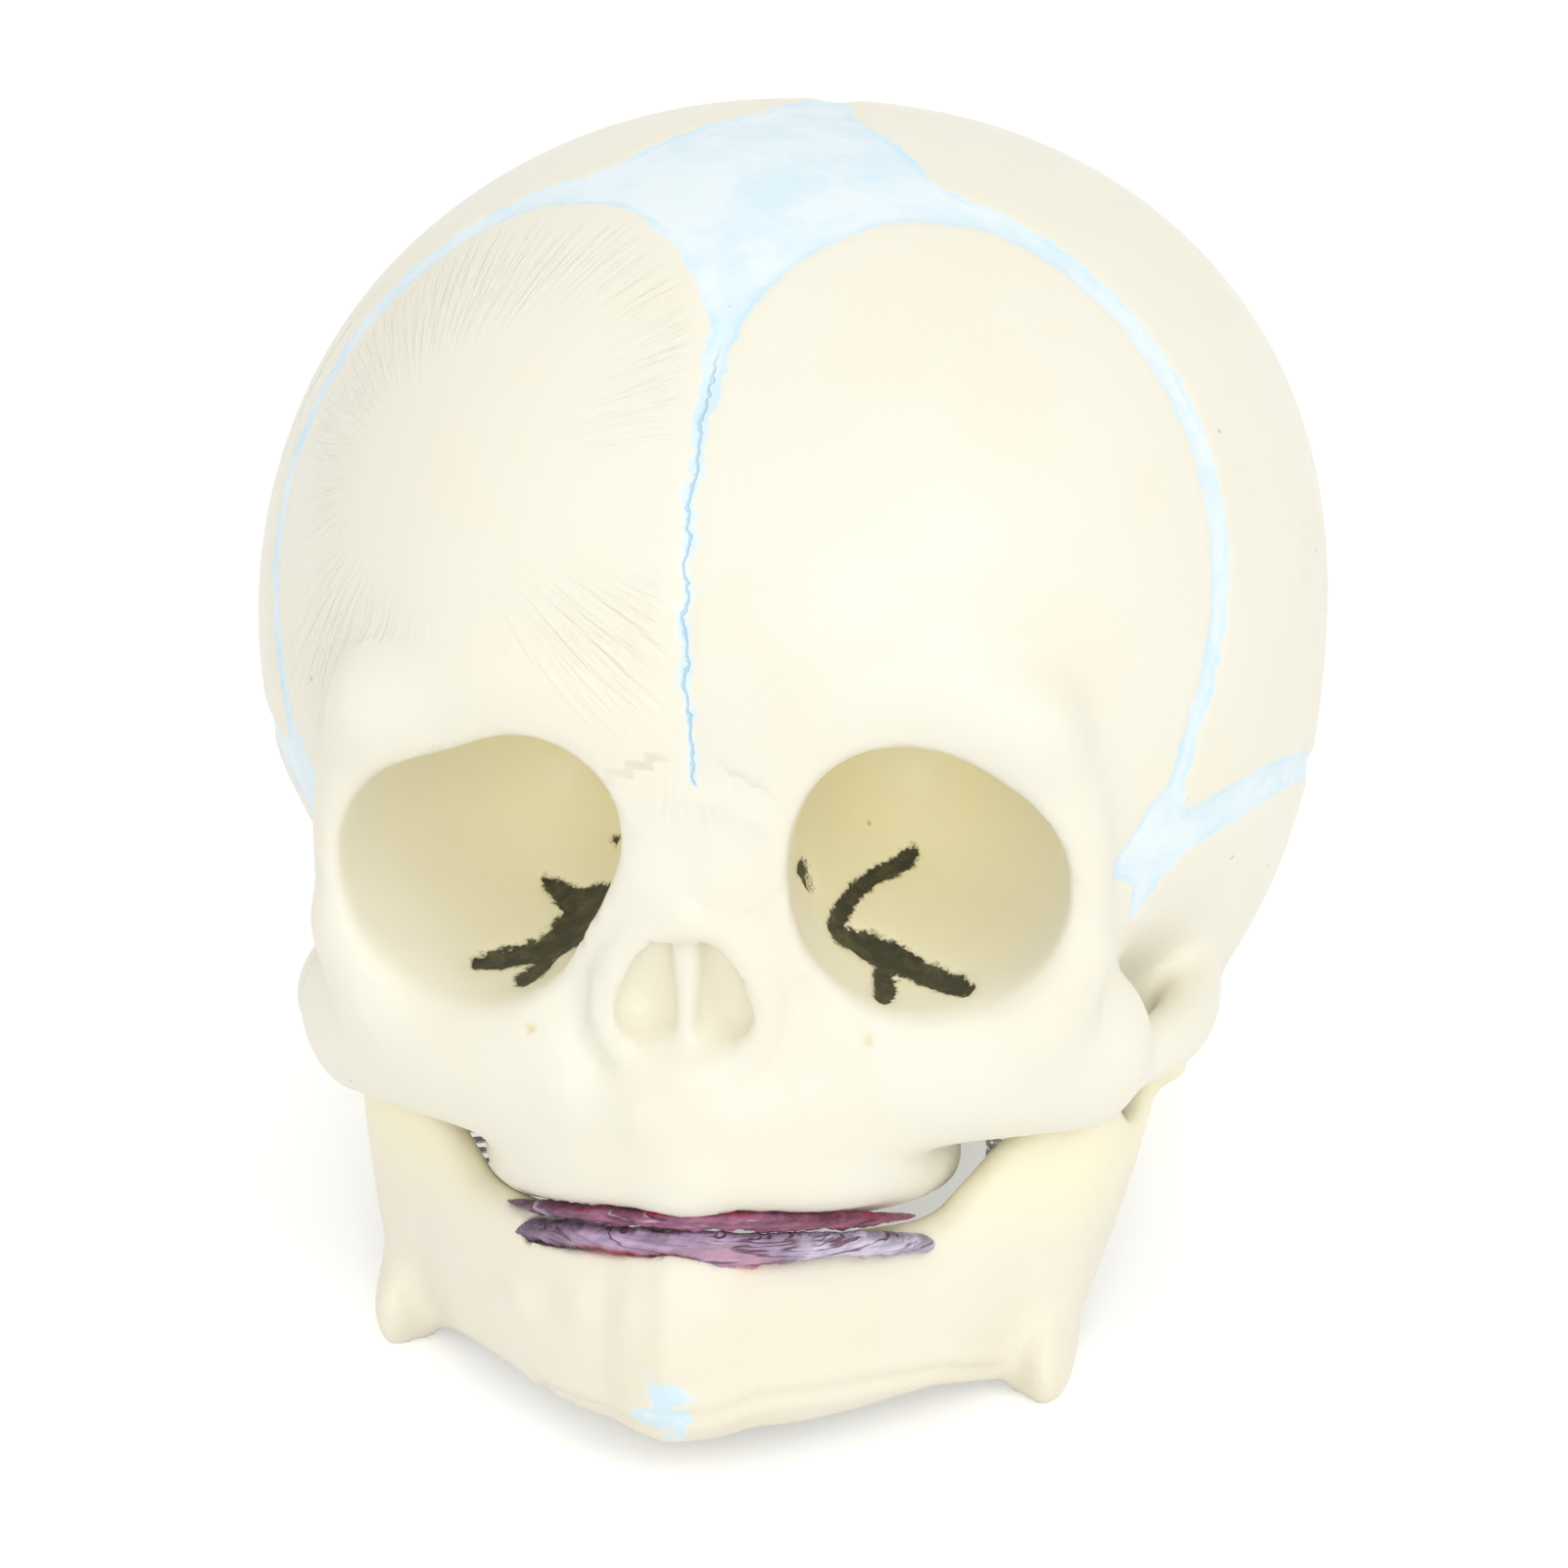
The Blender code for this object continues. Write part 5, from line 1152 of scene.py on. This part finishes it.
def round_pin(name, centre, ends, radius, head, material, body, node):
    """A pin along X with a rounded head, turned from its profile."""
    shank, neck, tip = ends
    way = 1 if tip > shank else -1
    bevel = 0.2
    profile = [
        (shank, 0.02), (shank, radius), (neck, radius), (neck, head - bevel / 2),
        (neck + way * bevel, head), (tip - way * bevel, head),
        (tip - way * bevel / 3, head - bevel / 3), (tip, head - bevel), (tip, 0.02),
    ]
    sides = 32
    verts = []
    for x, r in profile:
        for s in range(sides):
            angle = 2 * math.pi * s / sides
            verts.append((x, centre[1] + r * math.cos(angle), centre[2] + r * math.sin(angle)))
    faces = []
    for k in range(len(profile) - 1):
        for s in range(sides):
            t = (s + 1) % sides
            faces.append((k * sides + s, k * sides + t, (k + 1) * sides + t, (k + 1) * sides + s))
    made = new_object(name, to_world(verts), np.array(faces), body, "bright_steel", [node])
    face_outwards(made.data)
    made.data.set_sharp_from_angle(angle=math.radians(40))
    made.data.materials.append(material)


def spring(name, side, material, node):
    """The wire of a jaw spring: a loop round each pin and the coil between them."""
    top, bottom = spot(PIN, side), spot(LOWER_PIN, side)
    down = (bottom - top) / np.linalg.norm(bottom - top)
    sideways = np.cross(down, (1, 0, 0))
    pitch, turns, coil, loop = 1.05, 8, 1.6, 1.5
    lead = (np.linalg.norm(bottom - top) - pitch * turns) / 2
    angles = np.radians(-140 + 26 * np.arange(11))
    path = [top + loop * (sideways * math.sin(a) - down * math.cos(a)) for a in angles]
    for k in range(turns * 24 + 1):
        phase = 2 * math.pi * k / 24
        across = sideways * math.cos(phase) + np.array((math.sin(phase), 0, 0))
        path.append(top + down * (lead + pitch * k / 24) + coil * across)
    path += [bottom + loop * (sideways * math.sin(a) + down * math.cos(a)) for a in angles[::-1]]
    line = bpy.data.curves.new(name, "CURVE")
    line.dimensions = "3D"
    line.bevel_depth = 0.00025
    line.bevel_resolution = 3
    line.use_fill_caps = True
    spline = line.splines.new("POLY")
    spline.points.add(len(path) - 1)
    for place, point in zip(spline.points, to_world(path)):
        place.co = (*point, 1)
    helper = bpy.data.objects.new(name + "_wire", line)
    bpy.context.scene.collection.objects.link(helper)
    bpy.context.view_layer.update()
    mesh = bpy.data.meshes.new_from_object(helper.evaluated_get(bpy.context.evaluated_depsgraph_get()))
    bpy.data.objects.remove(helper, do_unlink=True)
    made = bpy.data.objects.new(name, mesh)
    bpy.context.scene.collection.objects.link(made)
    mesh.shade_smooth()
    mesh.materials.clear()
    mesh.materials.append(material)
    start, end = to_world([top, bottom]).tolist()
    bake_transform(made)
    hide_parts(node)


def springs_and_pins():
    steel = steel_material()
    for word, side in (("left", 1), ("right", -1)):
        top, bottom = spot(PIN, side), spot(LOWER_PIN, side)
        ends = (0.41 * FACE[0] * side, top[0] + side * 0.7, top[0] + side * 1.5)
        name = "upper_spring_pin_" + word
        round_pin(name + "_turned", top, ends, 0.8, 1.6, steel, "cranium", name)
        ends = (0.877 * FACE[0] * side, bottom[0] - side * 0.7, bottom[0] - side * 1.5)
        name = "lower_spring_pin_" + word
        round_pin(name + "_turned", bottom, ends, 0.8, 1.6, steel, "lower_jaw", name)
        spring("jaw_spring_" + word + "_wire", side, steel, "jaw_spring_" + word)


# Stage


WHITE = (1, 1, 1, 1)
WORLD_LIGHT = 0.75
FLOOR_GLOW = 0.32
FLOOR_HALF_WIDTH = 3.0
# Each lamp's place, watts and side, in metres
LAMPS = {
    "key": ((0.8, -0.6, 1.05), 2.7, 0.6),
    "front": ((0.2, -1.15, 0.65), 3.0, 0.6),
    "top": ((0.0, 0.3, 1.3), 0.8, 0.9),
}
LAMP_TARGET = Vector((0, 0, 0.045))


def stage():
    mesh = bpy.data.meshes.new("floor")
    wide = FLOOR_HALF_WIDTH
    corners = [(-wide, -wide, 0), (wide, -wide, 0), (wide, wide, 0), (-wide, wide, 0)]
    mesh.from_pydata(corners, [], [(0, 1, 2, 3)])
    floor = bpy.data.objects.new("floor", mesh)
    bpy.context.scene.collection.objects.link(floor)
    mesh.materials.append(floor_material())
    world = bpy.data.worlds.new("studio")
    bpy.context.scene.world = world
    world.use_nodes = True
    tree = world.node_tree
    background = tree.nodes["Background"]
    background.inputs["Color"].default_value = WHITE
    rays = tree.nodes.new("ShaderNodeLightPath").outputs
    strength = None
    # White where it is seen, and a little less where it lights the object
    for key in ("Is Camera Ray", "Is Glossy Ray", "Is Transmission Ray"):
        step = tree.nodes.new("ShaderNodeMath")
        step.operation = "MAXIMUM"
        tree.links.new(rays[key], step.inputs[0])
        if strength is None:
            step.inputs[1].default_value = WORLD_LIGHT
        else:
            tree.links.new(strength, step.inputs[1])
        strength = step.outputs[0]
    tree.links.new(strength, background.inputs["Strength"])
    for name, (place, power, size) in LAMPS.items():
        lamp = bpy.data.lights.new(name, "AREA")
        lamp.energy = power
        lamp.size = size
        thing = bpy.data.objects.new(name, lamp)
        bpy.context.scene.collection.objects.link(thing)
        thing.location = place
        aim_at = LAMP_TARGET - Vector(place)
        thing.rotation_euler = aim_at.to_track_quat("-Z", "Y").to_euler()
    bpy.context.scene.view_settings.view_transform = "Standard"


def camera():
    place, right, up, back = camera_axes()
    lens = bpy.data.cameras.new("camera")
    lens.sensor_width = SENSOR_WIDTH
    lens.lens = FOCAL_PIXELS / PHOTO_SIDE * SENSOR_WIDTH
    lens.clip_start = 0.01
    lens.clip_end = 20
    thing = bpy.data.objects.new("camera", lens)
    bpy.context.scene.collection.objects.link(thing)
    turn = np.array(Matrix.Rotation(-math.radians(TILT_DEGREES), 3, "X"))
    axes = turn @ np.stack((right, up, back), axis=1)
    spot_at = to_world([place])[0]
    rows = [[*axes[k], spot_at[k]] for k in range(3)] + [[0, 0, 0, 1]]
    thing.matrix_world = Matrix(rows)
    bpy.context.scene.camera = thing


camera()
cranium_skin()
jaw_skin()
gums()
springs_and_pins()
stage()
